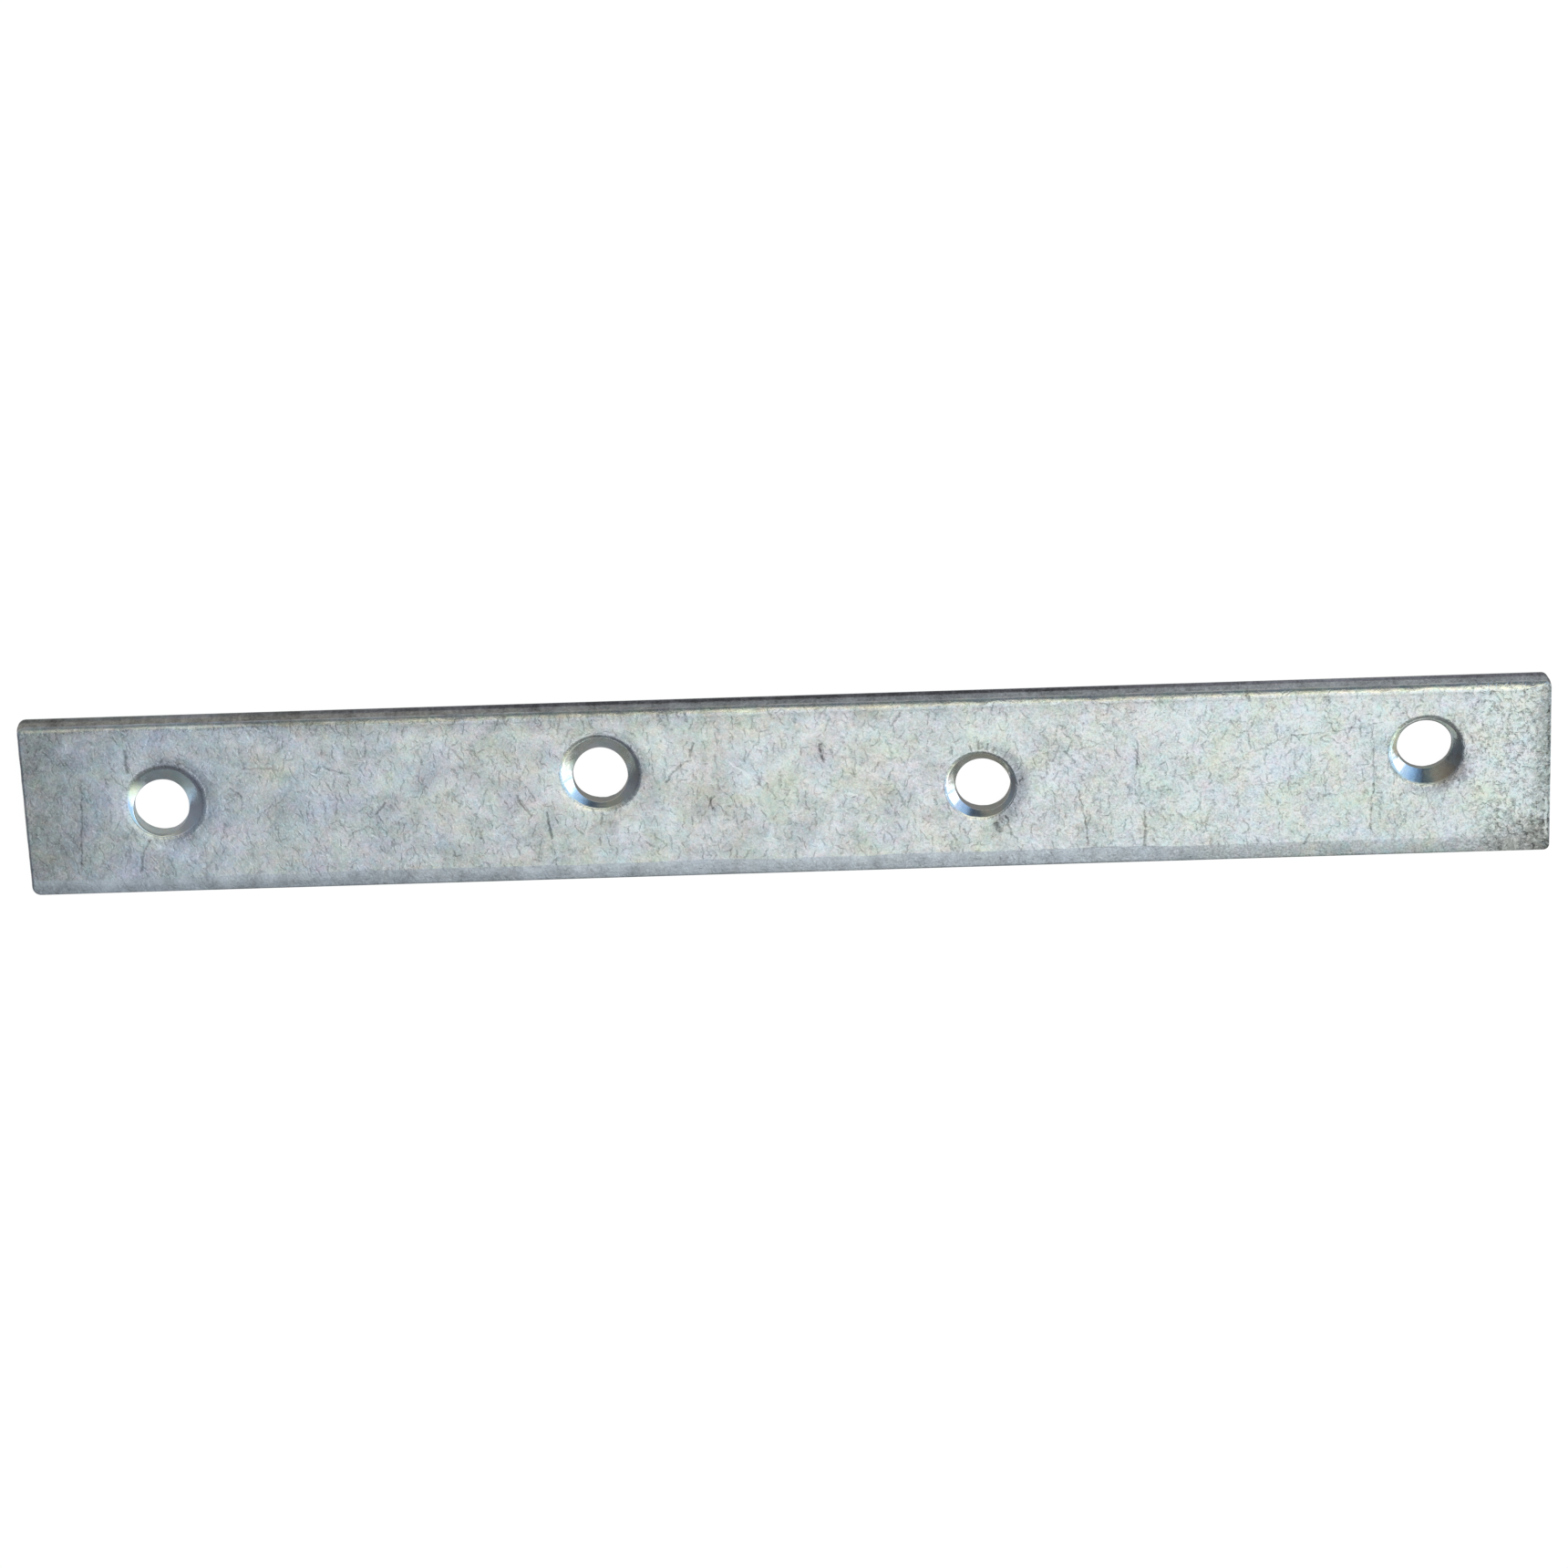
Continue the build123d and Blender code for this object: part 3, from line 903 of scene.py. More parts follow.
# single marks: x0, y0, x1, y1, bow, half width (mm), strength
DARK_MARKS = [
    (-68.92, 3.73, -69.71, -6.51, 0.05, 0.10, 0.42),
    (-69.12, 0.87, -69.47, -3.56, 0.00, 0.13, 0.35),
    (-64.38, 6.44, -64.35, 3.67, 0.05, 0.24, 0.62),
    (-63.78, -6.71, -63.23, -4.26, 0.12, 0.14, 0.50),
    (-63.24, -4.46, -62.56, -3.30, 0.10, 0.15, 0.50),
    (-64.71, -3.32, -64.78, -5.69, 0.00, 0.12, 0.30),
    (-54.57, 2.06, -53.14, 0.82, 0.10, 0.12, 0.40),
    (-53.26, 3.89, -49.78, 3.67, 0.10, 0.10, 0.30),
    (-45.28, 4.01, -42.31, 2.92, -0.10, 0.12, 0.40),
    (-40.33, -1.48, -39.01, 0.05, 0.00, 0.14, 0.55),
    (-43.14, -3.65, -40.90, -2.55, 0.10, 0.11, 0.35),
    (-35.70, 5.46, -35.37, 3.57, 0.05, 0.12, 0.40),
    (-32.48, 5.44, -30.93, 3.03, 0.20, 0.12, 0.40),
    (-26.26, 0.31, -24.69, -2.11, -0.20, 0.14, 0.50),
    (-30.22, -2.91, -29.96, -4.49, 0.10, 0.13, 0.45),
    (-23.40, -1.46, -22.95, -4.73, -0.10, 0.13, 0.60),
    (-25.40, 1.17, -24.25, -0.65, 0.10, 0.12, 0.40),
    (-8.63, 5.32, -8.98, 3.46, -0.10, 0.13, 0.50),
    (-8.98, 3.46, -11.61, 0.90, -0.30, 0.13, 0.50),
    (3.74, 4.80, 4.17, 2.62, -0.06, 0.16, 0.65),
    (-7.15, -0.44, -6.78, -2.22, -0.10, 0.14, 0.50),
    (11.90, 8.06, 10.68, 6.23, 0.10, 0.12, 0.50),
    (9.76, 2.63, 9.05, 1.38, -0.30, 0.10, 0.40),
    (-2.42, 1.37, -2.37, 0.29, 0.05, 0.14, 0.45),
    (5.72, 4.63, 5.14, 3.28, 0.10, 0.13, 0.35),
    (-9.46, 8.59, -9.11, 7.50, 0.00, 0.14, 0.40),
    (45.13, 2.11, 49.25, 4.08, -0.20, 0.09, 0.34),
    (49.25, 4.08, 59.23, 5.26, -0.28, 0.08, 0.34),
    (37.87, -0.09, 45.13, 2.11, -0.15, 0.08, 0.22),
    (28.00, 2.89, 31.41, 3.76, 0.10, 0.09, 0.30),
    (28.77, -0.67, 29.85, -7.18, 0.10, 0.11, 0.50),
    (35.27, -3.14, 35.38, -7.36, 0.05, 0.13, 0.55),
    (34.70, 4.23, 34.54, 0.90, 0.08, 0.13, 0.50),
    (27.29, 3.21, 28.69, 1.89, 0.10, 0.14, 0.55),
    (28.38, 4.25, 27.55, 2.71, 0.00, 0.13, 0.45),
    (57.67, 4.73, 57.33, -7.02, 0.20, 0.09, 0.40),
    (49.95, 2.74, 50.12, 0.77, 0.00, 0.11, 0.40),
    (36.32, -1.51, 37.94, -1.17, 0.05, 0.12, 0.45),
    (51.43, -6.43, 50.89, -7.58, 0.00, 0.14, 0.50),
    (45.37, 8.87, 45.71, 7.58, 0.00, 0.20, 0.70),
    (53.09, 8.11, 53.53, 7.22, 0.00, 0.15, 0.45),
    (20.49, -4.12, 21.27, -5.32, 0.00, 0.34, 0.55),
    (21.67, -3.47, 22.24, -5.75, 0.10, 0.12, 0.50),
    (18.54, 3.31, 18.38, 4.10, 0.00, 0.14, 0.60),
    (19.26, 3.48, 19.24, 4.56, 0.00, 0.14, 0.60),
    (19.97, 3.36, 20.08, 4.24, 0.00, 0.13, 0.60),
    (20.59, 3.05, 20.87, 3.82, 0.00, 0.13, 0.50),
    (66.34, 5.70, 66.18, 2.97, 0.00, 0.26, 0.30),
    (66.56, 0.41, 66.84, -1.95, 0.00, 0.26, 0.25),
]
LIGHT_MARKS = [
    (-5.27, 3.14, -3.17, 1.30, 0.00, 0.12, 0.60),
    (5.89, -0.58, 7.31, -0.92, 0.10, 0.13, 0.50),
    (-40.79, -3.54, -40.02, -4.15, 0.10, 0.12, 0.50),
    (23.94, -6.20, 26.06, -7.93, 0.10, 0.11, 0.40),
    (74.56, -3.20, 74.60, -7.60, 0.05, 0.15, 1.30),
]
marked = g.vec("ADD", pos, g.vec("MULTIPLY", tint_mid, (0.60, 0.60, 0.0)))


def mark(x0, y0, x1, y1, bow, half_w, strength):
    """One bowed scratch: t runs from -0.5 to 0.5 along it."""
    dx, dy = x1 - x0, y1 - y0
    n = math.hypot(dx, dy)
    across = (-dy / n, dx / n)
    mid = ((x0 + x1) / 2 + across[0] * bow, (y0 + y1) / 2 + across[1] * bow, 0.0)
    d = g.vec("SUBTRACT", marked, mid)
    t = g.vec("DOT_PRODUCT", d, (dx / n / n, dy / n / n, 0.0))
    q = g.mul(t, t)
    off = g.math("ABSOLUTE", g.math("MULTIPLY_ADD", q, 4 * bow, g.vec("DOT_PRODUCT", d, across + (0.0,))))
    body = g.add("ShaderNodeMapRange", interpolation_type="SMOOTHSTEP")
    g.put(body.inputs["Value"], off)
    for key, value in (("From Min", half_w * 1.5), ("From Max", half_w * 0.2), ("To Max", strength)):
        body.inputs[key].default_value = value
    return g.mul(body.outputs["Result"], g.smooth(0.25, 0.17, q))


def strongest(marks):
    """The marks one after another, so that few values are held at once."""
    out = None
    for m in marks:
        one = mark(*m)
        out = one if out is None else g.math("MAXIMUM", out, one)
    return out


dark_marks = g.mul(strongest(DARK_MARKS), open_face)
light_marks = g.mul(strongest(LIGHT_MARKS), open_face)
calm = g.sub(1.0, g.mul(roll, 0.55))  # the drawn-down roll is burnished smoother
dark_hair = g.mul(g.mul(dark_hair, open_face), calm)
light_hair = g.mul(g.mul(light_hair, open_face), calm)
thin_dark = g.mul(g.mul(thin_dark, open_face), calm)
thin_light = g.mul(g.mul(thin_light, open_face), calm)
pits = g.mul(pits, open_face)
scrape = g.mul(scrape, open_face)

# painted shade in rings on the face round the holes: name, shade, bearing it is strongest at, reach (mm), and how much
# of it goes all round
RINGS = (("hole_1", 0.30, 55, 0.9, 0.40), ("hole_2", 0.20, 35, 0.7, 0.25), ("hole_3", 0.36, -4, 1.5, 0.05), ("hole_4", 0.24, -60, 1.4, 0.1))
ring_shade = None
centre_of = {h[0]: (h[1] + h[5], h[2] + h[6], h[4]) for h in HOLES}
flat_pos = g.vec("MULTIPLY", pos, (1.0, 1.0, 0.0))
for ring_name, shade, toward, reach, even in RINGS:
    cx, cy, rr = centre_of[ring_name]
    d = g.vec("SUBTRACT", flat_pos, (cx, cy, 0.0))
    far = g.vec("LENGTH", d)
    facing = g.vec("DOT_PRODUCT", g.vec("NORMALIZE", d), (math.cos(math.radians(toward)), math.sin(math.radians(toward)), 0.0))
    side = g.maxv(g.smooth(0.10, 0.85, facing), even)
    one = g.mul(g.mul(g.smooth(rr + reach, rr + 0.15, far), side), shade)
    ring_shade = one if ring_shade is None else g.maxv(ring_shade, one)
ring_shade = g.mul(g.mul(ring_shade, open_face), g.addv(0.55, patch))

# stains: a grey-brown patch low at the +X end, and rust shadow in the last countersink
brown = g.mul(
    g.mul(g.smooth(62.5, 73.5, g.addv(X, g.mul(g.sub(patch, 0.5), 5.0))), g.smooth(-4.8, -8.4, g.addv(g.sub(Y, g.mul(g.sub(X, 70.0), 0.22)), g.mul(g.sub(grain, 0.5), 3.0)))),
    open_face,
)
rust = g.mul(
    g.mul(g.smooth(0.4, 2.4, g.sub(X, 62.6)), g.smooth(2.0, -0.6, g.addv(Y, g.mul(g.sub(patch, 0.5), 2.5)))),
    g.mul(g.maxv(sink, g.mul(rim, 0.8)), g.smooth(60.0, 61.0, X)),
)
# the last 2.6 mm of the +X end: browner, and painted darker as shade where the end rolls over
stained_and_shaded_end = g.smooth(HX - 2.6, HX - 0.1, X)

# colour
col = g.mix((0.735, 0.775, 0.820, 1), (0.795, 0.808, 0.786, 1), g.smooth(-70.0, -15.0, X))
col = g.mix(col, (0.778, 0.812, 0.796, 1), g.smooth(5.0, 60.0, X))
col = g.mix(col, (0.750, 0.765, 0.755, 1), g.smooth(-69.0, -74.0, X))
tinge = g.vec("ADD", g.vec("MULTIPLY", tint_low, (0.22, 0.05, 0.40)), (1.0, 1.0, 1.0))
tinge = g.vec("ADD", tinge, g.vec("MULTIPLY", tint_mid, (0.36, 0.07, 0.20)))
tinge = g.vec("ADD", tinge, g.vec("MULTIPLY", tint_fine, (0.22, 0.05, 0.13)))
col = g.vec("MULTIPLY", col, tinge)
# painted shade: the -Y roll is painted a darker blue-grey, fading out past X 30 mm
col = g.mix(col, (0.700, 0.745, 0.800, 1), g.mul(g.mul(roll, g.smooth(60.0, 30.0, X)), 0.8))
col = g.mix(col, (0.690, 0.655, 0.600, 1), g.mul(g.maxv(brown, g.mul(g.mul(stained_and_shaded_end, open_face), 0.4)), 0.75))
col = g.mix(col, (0.640, 0.505, 0.370, 1), g.mul(rust, 0.80))
col = g.mix(col, (0.760, 0.740, 0.690, 1), g.mul(fracture, g.smooth(10.0, -60.0, X)))
col = g.mix(col, (0.720, 0.730, 0.900, 1), g.mul(land, g.smooth(-60.0, -25.0, X)))
col = g.mix(col, (0.765, 0.800, 0.835, 1), g.mul(fracture, g.smooth(-35.0, 0.0, X)))
# painted shade round the holes, in blue-grey
col = g.mix(col, (0.700, 0.715, 0.810, 1), g.mul(ring_shade, 1.6))
# painted shade and painted light: the face is painted darker or brighter at places along the plate
shade_along_at = [(-75, 0.0), (-70, 0.09), (-60, 0.0), (-52, -0.03), (-46, -0.06), (-30, -0.08), (-16, -0.055), (2, -0.03), (18, -0.01), (32, 0.0), (42, 0.06), (55, 0.07), (62, 0.03), (68, 0.05), (75, 0.06)]
# painted light: the face is painted a little lighter toward +Y, under the broad mottle
value = g.addv(g.addv(1.0, g.mul(Y, 0.0026)), g.mul(g.sub(blotch, 0.5), g.ramp(5.0, 45.0, 0.72, 0.46, X)))
value = g.addv(value, g.mul(g.along(X, shade_along_at), open_face))
value = g.addv(value, g.mul(g.sub(patch, 0.5), 0.36))
value = g.addv(value, g.mul(g.mul(g.sub(grain, 0.5), g.ramp(-40.0, 60.0, 0.38, 0.66, X)), 1.0))
value = g.addv(value, g.mul(g.sub(fine, 0.5), g.ramp(-5.0, 45.0, 0.42, 0.84, X)))
value = g.sub(value, g.mul(dark_hair, g.ramp(0.0, 45.0, 0.18, 0.24, X)))
value = g.addv(value, g.mul(light_hair, g.ramp(0.0, 45.0, 0.14, 0.20, X)))
value = g.sub(value, g.mul(thin_dark, g.ramp(0.0, 45.0, 0.13, 0.17, X)))
value = g.addv(value, g.mul(thin_light, 0.12))
value = g.sub(value, g.mul(dark_marks, 0.75))
value = g.addv(value, g.mul(light_marks, 0.50))
value = g.sub(value, g.mul(pits, 0.30))
value = g.addv(value, g.mul(scrape, 0.28))
value = g.sub(value, g.mul(brown, 0.26))
value = g.sub(value, ring_shade)
# painted shade: the face is painted darker toward the -X end, in two steps
value = g.sub(value, g.mul(g.mul(dull_and_shaded_end, open_face), 0.13))
value = g.sub(value, g.mul(g.mul(g.smooth(-65.0, -74.0, X), open_face), 0.19))
# painted highlight along the very -X end of the face
value = g.addv(value, g.mul(g.mul(g.smooth(-74.35, -74.85, X), open_face), 0.28))
# painted shade over the rolled-over +X end
value = g.sub(value, g.mul(g.mul(stained_and_shaded_end, open_face), 0.28))
# painted shade along the very +X end, on the face and the end wall
value = g.sub(value, g.mul(g.smooth(HX - 0.60, HX - 0.12, X), 0.22))
# painted highlight along the -Y edge of the face
value = g.addv(value, g.mul(g.mul(g.smooth(-HY + 0.30, -HY + 0.06, Y), open_face), 0.14))
# painted shade and painted light on the -Y roll, set at places along the plate
roll_shade_at = [(-75, 0.14), (-68, 0.12), (-61, -0.08), (-48, -0.11), (-32, -0.09), (-14, -0.10), (4, -0.09), (22, -0.12), (40, -0.18), (55, -0.24), (66, -0.12), (71, 0.0), (75, 0.0)]
value = g.addv(value, g.mul(g.mul(roll, g.smooth(-HY + 3.0, -HY + 2.0, Y)), g.along(X, roll_shade_at)))
value = g.sub(value, g.mul(rust, 0.22))
streaks = g.noise(g.vec("MULTIPLY", pos, (1.0, 1.0, 0.22)), 1.5, 3.0, 0.65, 0.3, offset=(9, 31, 2))
chips = g.noise(g.vec("MULTIPLY", pos, (1.0, 1.0, 0.75)), 3.4, 2.0, 0.6, 0.5, offset=(44, 3, 12))
value = g.addv(value, g.mul(g.mul(g.sub(streaks, 0.5), 0.80), g.maxv(land, fracture)))
value = g.addv(value, g.mul(g.mul(g.sub(chips, 0.5), 0.55), g.maxv(land, fracture)))
# painted shade on the break, set at places along the plate
break_shade_at = [(-75, 0.27), (-66, 0.35), (-60, 0.17), (-50, 0.36), (-32, 0.26), (-14, 0.33), (4, 0.31), (18, 0.26), (28, 0.22), (40, 0.13), (55, -0.02), (68, 0.13), (75, 0.16)]
value = g.sub(value, g.mul(fracture, g.along(X, break_shade_at)))
# painted shade and painted light on the arris, set at places along the plate
arris_shade_at = [(-75, -0.04), (-68, 0.18), (-60, 0.14), (-54, 0.34), (-46, 0.41), (-34, 0.17), (-28, 0.17), (-20, 0.28), (-12, 0.28), (-3, 0.09), (6, 0.08), (22, 0.15), (40, 0.10), (55, 0.02), (64, -0.14), (75, -0.24)]
value = g.sub(value, g.mul(arris, g.along(X, arris_shade_at)))
# painted highlight on the steep first part of the arris
arris_highlight_at = [(-75, 0.36), (-60, 0.40), (-38, 0.46), (-20, 0.30), (1, 0.16), (20, 0.30), (38, 0.46), (57, 0.34), (75, 0.20)]
arris_highlight = g.mul(g.mul(arris, g.smooth(T - 0.54, T - 0.36, Z)), g.mul(g.smooth(T - 0.08, T - 0.24, Z), g.smooth(HY - 2.0, HY - 1.0, Y)))
value = g.addv(value, g.mul(arris_highlight, g.along(X, arris_highlight_at)))
# and painted shade in a band just inside the arris
dip_shade_at = [(-75, -0.04), (-68, 0.06), (-60, 0.03), (-48, 0.12), (-32, 0.13), (-14, 0.08), (4, 0.05), (22, 0.09), (40, -0.02), (55, -0.02), (64, -0.02), (75, -0.04)]
value = g.sub(value, g.mul(g.mul(g.mul(g.smooth(HY - 2.4, HY - 1.5, Y), open_face), g.sub(1.0, arris)), g.along(X, dip_shade_at)))
# painted shade on the burnished land, set at places along the plate
land_shade_at = [(-75, 0.52), (-68, 0.56), (-60, 0.13), (-48, 0.53), (-32, 0.63), (-14, 0.80), (4, 0.79), (24, 0.84), (40, 0.47), (55, 0.05), (68, 0.44), (75, 0.44)]
value = g.sub(value, g.mul(land, g.along(X, land_shade_at)))
# nothing of the mottle is as strong in the pressed countersinks
value = g.addv(g.mul(value, g.sub(1.0, g.mul(holes_zone, 0.7))), g.mul(holes_zone, 0.68))
# painted shade and painted light in the countersinks, each strongest toward one bearing
sink_shade_and_light = None
for ring_name, toward, depth in (("hole_1", 80, 0.30), ("hole_1", -25, -0.38), ("hole_2", 40, 0.20), ("hole_3", 60, 0.15), ("hole_4", 25, 0.34)):
    cx, cy, rr = centre_of[ring_name]
    d = g.vec("SUBTRACT", flat_pos, (cx, cy, 0.0))
    facing = g.vec("DOT_PRODUCT", g.vec("NORMALIZE", d), (math.cos(math.radians(toward)), math.sin(math.radians(toward)), 0.0))
    one = g.mul(g.mul(g.smooth(0.15, 0.75, facing), g.smooth(rr + 0.3, rr, g.vec("LENGTH", d))), depth)
    sink_shade_and_light = one if sink_shade_and_light is None else g.addv(sink_shade_and_light, one)
value = g.sub(value, g.mul(sink_shade_and_light, sink))
# painted light: the long wall on the near side of the -X hole is painted brighter, and it is also rougher
value = g.addv(value, g.mul(g.mul(wall, g.smooth(-57.0, -58.0, X)), 0.55))
vcol = g.add("ShaderNodeCombineColor")
value = g.math("MAXIMUM", g.math("MINIMUM", value, 1.22), 0.15)
for i in range(3):
    g.put(vcol.inputs[i], value)
col = g.mix(col, vcol.outputs[0], 1.0, "MULTIPLY")

# roughness
rough = g.addv(0.35, g.mul(g.sub(grain, 0.5), 0.14))
rough = g.addv(rough, g.mul(g.sub(patch, 0.5), 0.14))
rough = g.addv(rough, g.mul(dark_hair, 0.12))
rough = g.addv(rough, g.mul(brown, 0.14))
rough = g.addv(rough, g.mul(rust, 0.20))
rough = g.addv(rough, g.mul(dull_and_shaded_end, 0.05))
rough = g.addv(rough, g.mul(fracture, 0.16))
rough = g.sub(rough, g.mul(land, 0.14))
rough = g.sub(rough, g.mul(arris, 0.12))
rough = g.sub(rough, g.mul(sink, 0.21))
rough = g.addv(g.sub(rough, g.mul(wall, 0.14)), g.mul(g.mul(wall, g.smooth(-57.0, -58.0, X)), 0.40))
rough = g.sub(rough, g.mul(rim, 0.12))
rough = g.math("MINIMUM", g.math("MAXIMUM", rough, 0.12), 0.75)

# relief, in millimetres: grain, hairs cut into it, pits
relief = g.mul(g.sub(grain, 0.5), 0.017)
relief = g.addv(relief, g.mul(g.sub(fine, 0.5), 0.007))
relief = g.addv(relief, g.mul(g.sub(patch, 0.5), 0.020))
relief = g.sub(relief, g.mul(dark_hair, 0.007))
relief = g.addv(relief, g.mul(light_hair, 0.005))
relief = g.sub(relief, g.mul(pits, 0.022))
tear = g.noise(g.vec("MULTIPLY", pos, (1.0, 1.0, 1.6)), 2.2, 3.0, 0.6, 0.4, offset=(4, 4, 4))
relief = g.addv(relief, g.mul(g.mul(g.sub(tear, 0.5), 0.08), fracture))
drag_lines = g.noise(g.vec("MULTIPLY", pos, (5.0, 5.0, 0.25)), 1.0, 1.0, 0.5, 0.0, offset=(8, 1, 4))
relief = g.addv(relief, g.mul(g.mul(g.sub(drag_lines, 0.5), 0.02), land))
relief = g.mul(relief, g.sub(1.0, g.mul(holes_zone, 0.55)))
bump = g.add("ShaderNodeBump")
bump.inputs["Strength"].default_value = 1.0
bump.inputs["Distance"].default_value = 0.001
g.put(bump.inputs["Height"], relief)

bsdf = g.add("ShaderNodeBsdfPrincipled")
g.put(bsdf.inputs["Base Color"], col)
bsdf.inputs["Metallic"].default_value = 1.0
g.put(bsdf.inputs["Roughness"], rough)
g.put(bsdf.inputs["Normal"], bump.outputs[0])
out = g.add("ShaderNodeOutputMaterial")
g.put(out.inputs["Surface"], bsdf.outputs[0])
mesh.materials.append(mat)

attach(plate, "root")
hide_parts(NODE)

# ---------------------------------------------------------------------------
# Stage: a white floor and surround that only the camera sees, soft light
# ---------------------------------------------------------------------------
def emission_material(name, colour, strength, diffuse=0.0):
    m = bpy.data.materials.new(name)
    m.use_nodes = True
    t = Nodes(m.node_tree)
    m.node_tree.nodes.clear()
    e = t.add("ShaderNodeEmission")
    e.inputs["Color"].default_value = colour
    e.inputs["Strength"].default_value = strength
    o = t.add("ShaderNodeOutputMaterial")
    if diffuse:
        d = t.add("ShaderNodeBsdfDiffuse")
        d.inputs["Color"].default_value = (diffuse, diffuse, diffuse, 1)
        a = t.add("ShaderNodeAddShader")
        t.put(a.inputs[0], e.outputs[0])
        t.put(a.inputs[1], d.outputs[0])
        t.put(o.inputs["Surface"], a.outputs[0])
    else:
        t.put(o.inputs["Surface"], e.outputs[0])
    return m


def disc(name, radius, z, segments=96):
    a = np.linspace(0, 2 * math.pi, segments, endpoint=False)
    pts = [(radius * math.cos(t), radius * math.sin(t), z) for t in a]
    me = bpy.data.meshes.new(name)
    me.from_pydata(pts, [], [list(range(segments))])
    ob = bpy.data.objects.new(name, me)
    bpy.context.scene.collection.objects.link(ob)
    return ob


floor = disc("floor", 2.6, LOW.z - 0.00002)
floor.data.materials.append(emission_material("floor_white", (1.0, 1.0, 1.0, 1), 0.955, 0.12))
floor.visible_glossy = False
floor.visible_diffuse = False
floor.visible_shadow = False

bpy.ops.mesh.primitive_uv_sphere_add(segments=64, ring_count=32, radius=2.7, location=(0, 0, 0))
surround = bpy.context.object
surround.name = "surround"
surround.data.materials.append(emission_material("surround_white", (0.98, 0.99, 1.0, 1), 0.97))
for flag in ("visible_glossy", "visible_diffuse", "visible_shadow", "visible_transmission", "visible_volume_scatter"):
    setattr(surround, flag, False)

world = bpy.data.worlds.new("studio")
bpy.context.scene.world = world
world.use_nodes = True
world.node_tree.nodes.clear()
w = Nodes(world.node_tree)
wt = w.add("ShaderNodeTexCoord")
direction = w.vec("NORMALIZE", wt.outputs["Generated"])
ws = w.add("ShaderNodeSeparateXYZ")
w.put(ws.inputs[0], direction)
DX, DY, DZ = ws.outputs
# low round the plate: a bright window side at +X, blue beyond it, dark toward +Y
BAND = [  # bearing in degrees from +X toward +Y, colour
    (-180, (0.16, 0.18, 0.21)),
    (-150, (0.13, 0.145, 0.17)),
    (-110, (0.17, 0.18, 0.20)),
    (-64, (0.26, 0.28, 0.27)),
    (-46, (1.05, 1.15, 0.90)),
    (-32, (1.55, 1.62, 1.50)),
    (-15, (1.55, 1.62, 1.60)),
    (-11, (0.60, 0.85, 1.05)),
    (-6, (1.75, 1.85, 1.95)),
    (13, (1.85, 1.95, 2.05)),
    (21, (0.58, 0.84, 1.18)),
    (46, (0.34, 0.55, 0.86)),
    (58, (0.14, 0.22, 0.34)),
    (72, (0.060, 0.085, 0.130)),
    (86, (0.12, 0.145, 0.165)),
    (110, (0.235, 0.245, 0.220)),
    (140, (0.215, 0.225, 0.225)),
    (165, (0.175, 0.205, 0.24)),
    (180, (0.16, 0.18, 0.21)),
]
bearing = w.math("ARCTAN2", DY, DX)
turn = w.addv(w.mul(bearing, 0.5 / math.pi), 0.5)
ring = w.add("ShaderNodeValToRGB")
ramp = ring.color_ramp
ramp.interpolation = "LINEAR"
while len(ramp.elements) < len(BAND):
    ramp.elements.new(0.5)
for e, (deg, colour) in zip(ramp.elements, BAND):
    e.position = (deg + 180) / 360.0
for e, (deg, colour) in zip(ramp.elements, BAND):
    e.color = tuple(0.5 * c for c in colour) + (1,)
w.put(ring.inputs["Fac"], turn)
band = w.vec("SCALE", ring.outputs["Color"], scale=2.0)
window = w.mul(w.smooth(-0.85, -0.65, bearing), w.smooth(0.42, 0.24, bearing))
band = w.mix(band, (0.62, 0.90, 1.18, 1), w.mul(window, w.smooth(0.36, 0.46, DZ)))
below = w.mix((0.225, 0.230, 0.225, 1), (0.42, 0.415, 0.41, 1), w.smooth(-0.94, -0.55, DZ))
below = w.mix(below, (0.28, 0.30, 0.325, 1), w.smooth(-0.50, -0.20, DZ))
above = w.mix((0.22, 0.26, 0.30, 1), (0.34, 0.38, 0.39, 1), w.smooth(-0.8, 0.8, DX))
sky = w.mix(below, band, w.smooth(-0.07, 0.04, DZ))
sky = w.mix(sky, above, w.smooth(0.56, 0.80, DZ))
high = w.mul(w.smooth(0.15, 0.40, DY), w.smooth(0.50, 0.90, DZ))
sky = w.mix(sky, (1.06, 1.04, 0.86, 1), w.mul(high, w.smooth(-0.9, 0.3, DX)))
total_light = sky
bg = w.add("ShaderNodeBackground")
w.put(bg.inputs["Color"], total_light)
bg.inputs["Strength"].default_value = 1.0
wo = w.add("ShaderNodeOutputWorld")
w.put(wo.inputs["Surface"], bg.outputs[0])


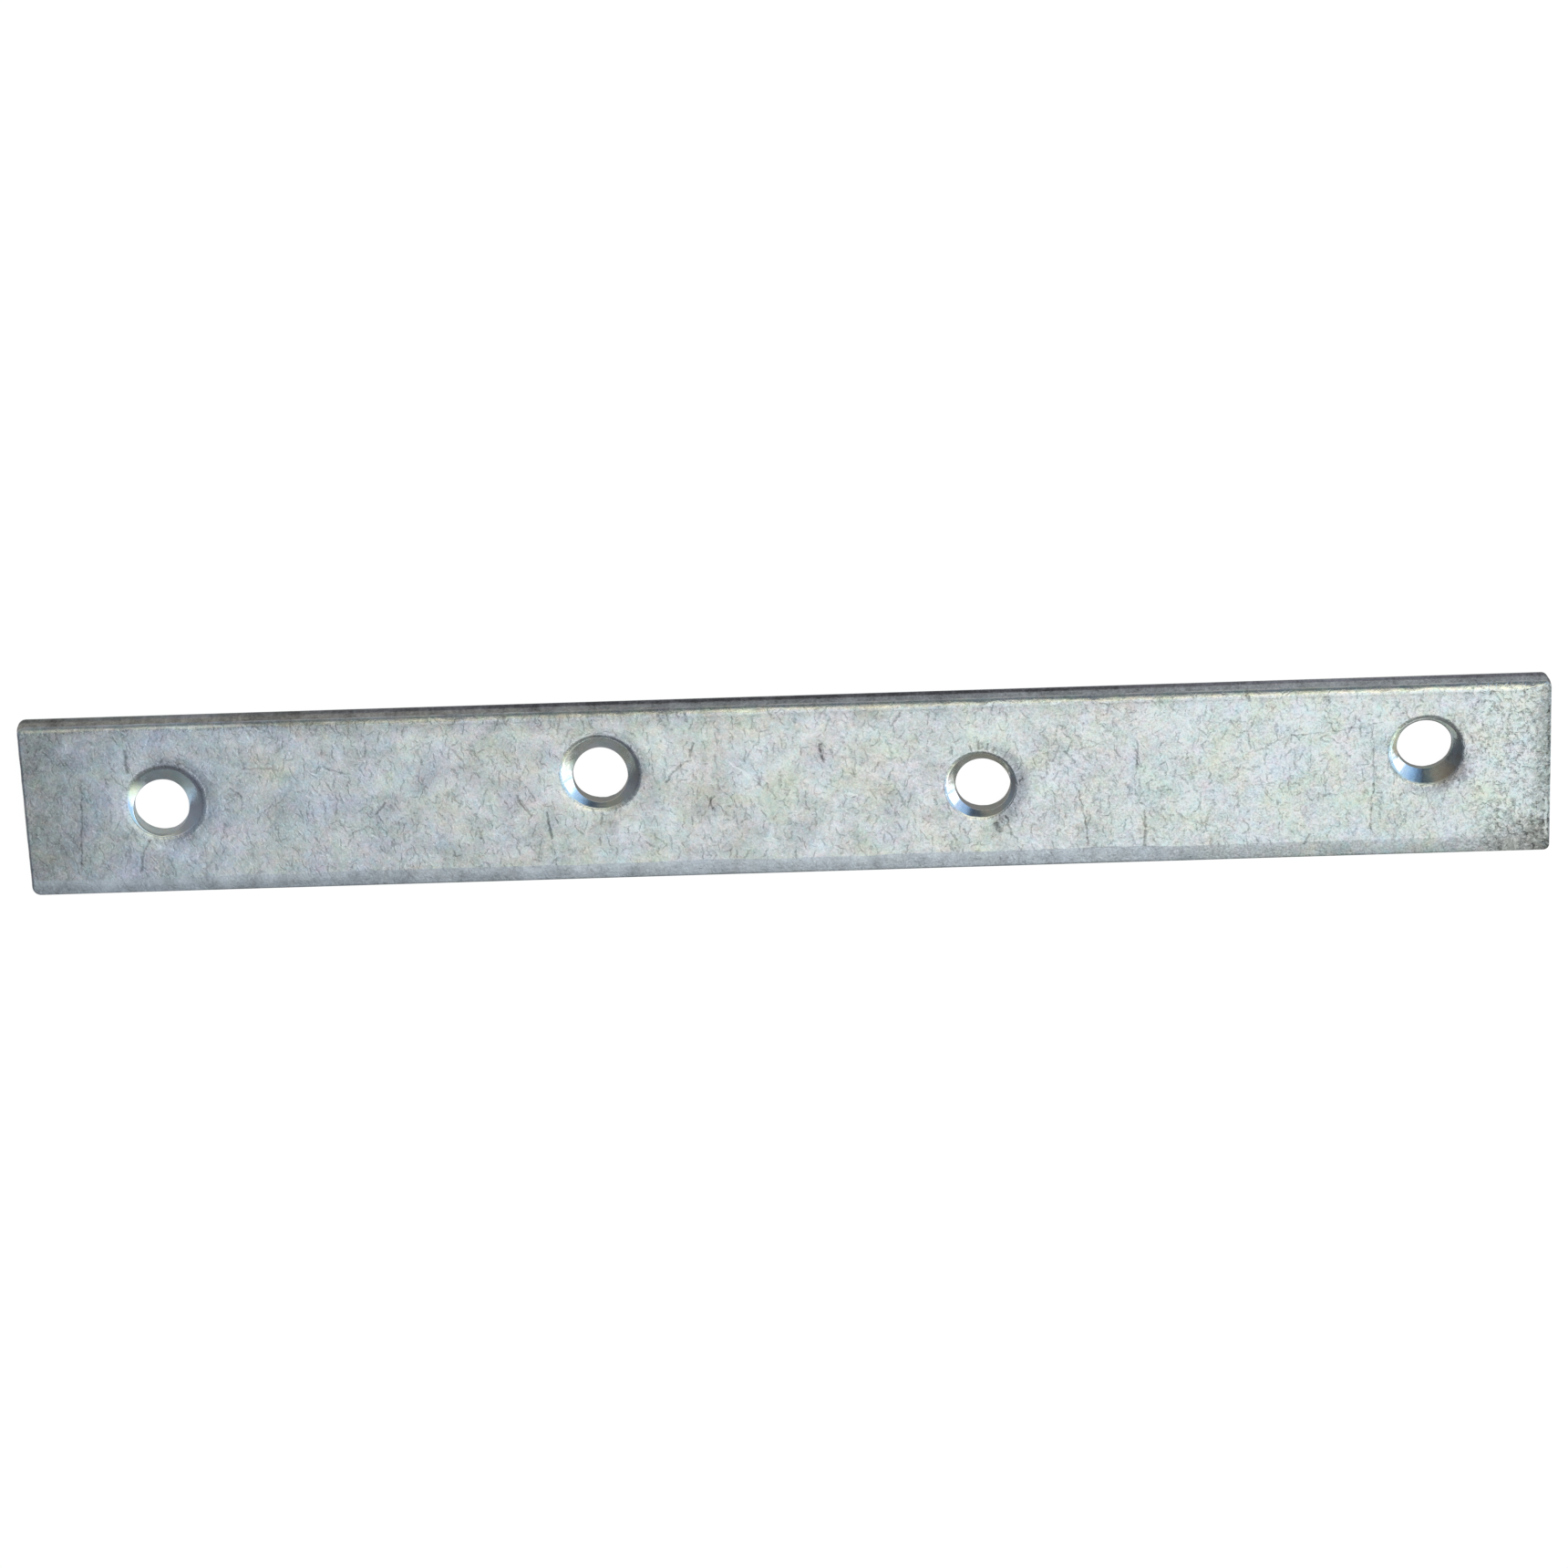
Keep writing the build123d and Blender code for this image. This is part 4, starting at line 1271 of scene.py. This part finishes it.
def softbox(name, centre, aim, size, power, colour):
    light = bpy.data.lights.new(name, "AREA")
    light.shape = "RECTANGLE"
    light.size, light.size_y = size
    light.energy = power
    light.color = colour
    ob = bpy.data.objects.new(name, light)
    ob.location = centre
    ob.rotation_euler = (Vector(aim) - Vector(centre)).to_track_quat("-Z", "Y").to_euler()
    ob.visible_camera = False
    bpy.context.scene.collection.objects.link(ob)
    return ob


BOX_Z = 0.30
# x from, x to, y from, y to, radiance, colour
for name, x0, x1, y0, y1, radiance, colour in (
    ("main_box", -0.105, 0.195, -0.250, 0.060, 0.590, (0.985, 1.0, 0.995)),
    ("right_box", 0.035, 0.180, -0.230, 0.070, 0.470, (0.98, 1.0, 0.985)),
    ("top_box", -0.020, 0.200, -0.070, 0.170, 0.330, (1.0, 1.0, 0.88)),
    ("crest_box", 0.120, 0.230, -0.060, 0.170, 0.500, (1.0, 1.0, 0.86)),
):
    area = (x1 - x0) * (y1 - y0)
    centre = ((x0 + x1) / 2, (y0 + y1) / 2, BOX_Z)
    softbox(name, centre, (centre[0], centre[1], 0.0), (x1 - x0, y1 - y0), radiance * math.pi * area, colour)

# ---------------------------------------------------------------------------
# Camera
# ---------------------------------------------------------------------------
PITCH, ROLL, YAW = math.radians(22.4614), math.radians(1.7655), math.radians(-1.7284)
DISTANCE = 0.53312
fwd = Vector((0, -math.sin(PITCH), -math.cos(PITCH)))
upv = Vector((0, math.cos(PITCH), -math.sin(PITCH)))
rightv = Vector((1, 0, 0))
f2 = fwd * math.cos(YAW) + rightv * math.sin(YAW)
r2 = rightv * math.cos(YAW) - fwd * math.sin(YAW)
r3 = r2 * math.cos(ROLL) - upv * math.sin(ROLL)
u3 = upv * math.cos(ROLL) + r2 * math.sin(ROLL)
place = -f2 * DISTANCE + r3 * (0.010 * MM) + u3 * (-0.420 * MM)
cam_data = bpy.data.cameras.new("camera")
cam_data.sensor_width = 36.0
cam_data.lens = 124.28
cam_data.clip_start = 0.01
cam_data.clip_end = 20.0
cam = bpy.data.objects.new("camera", cam_data)
cam.matrix_world = Matrix(
    (
        (r3.x, u3.x, -f2.x, place.x),
        (r3.y, u3.y, -f2.y, place.y),
        (r3.z, u3.z, -f2.z, place.z),
        (0, 0, 0, 1),
    )
)
bpy.context.scene.collection.objects.link(cam)
bpy.context.scene.camera = cam
bpy.context.scene.view_settings.view_transform = "Standard"
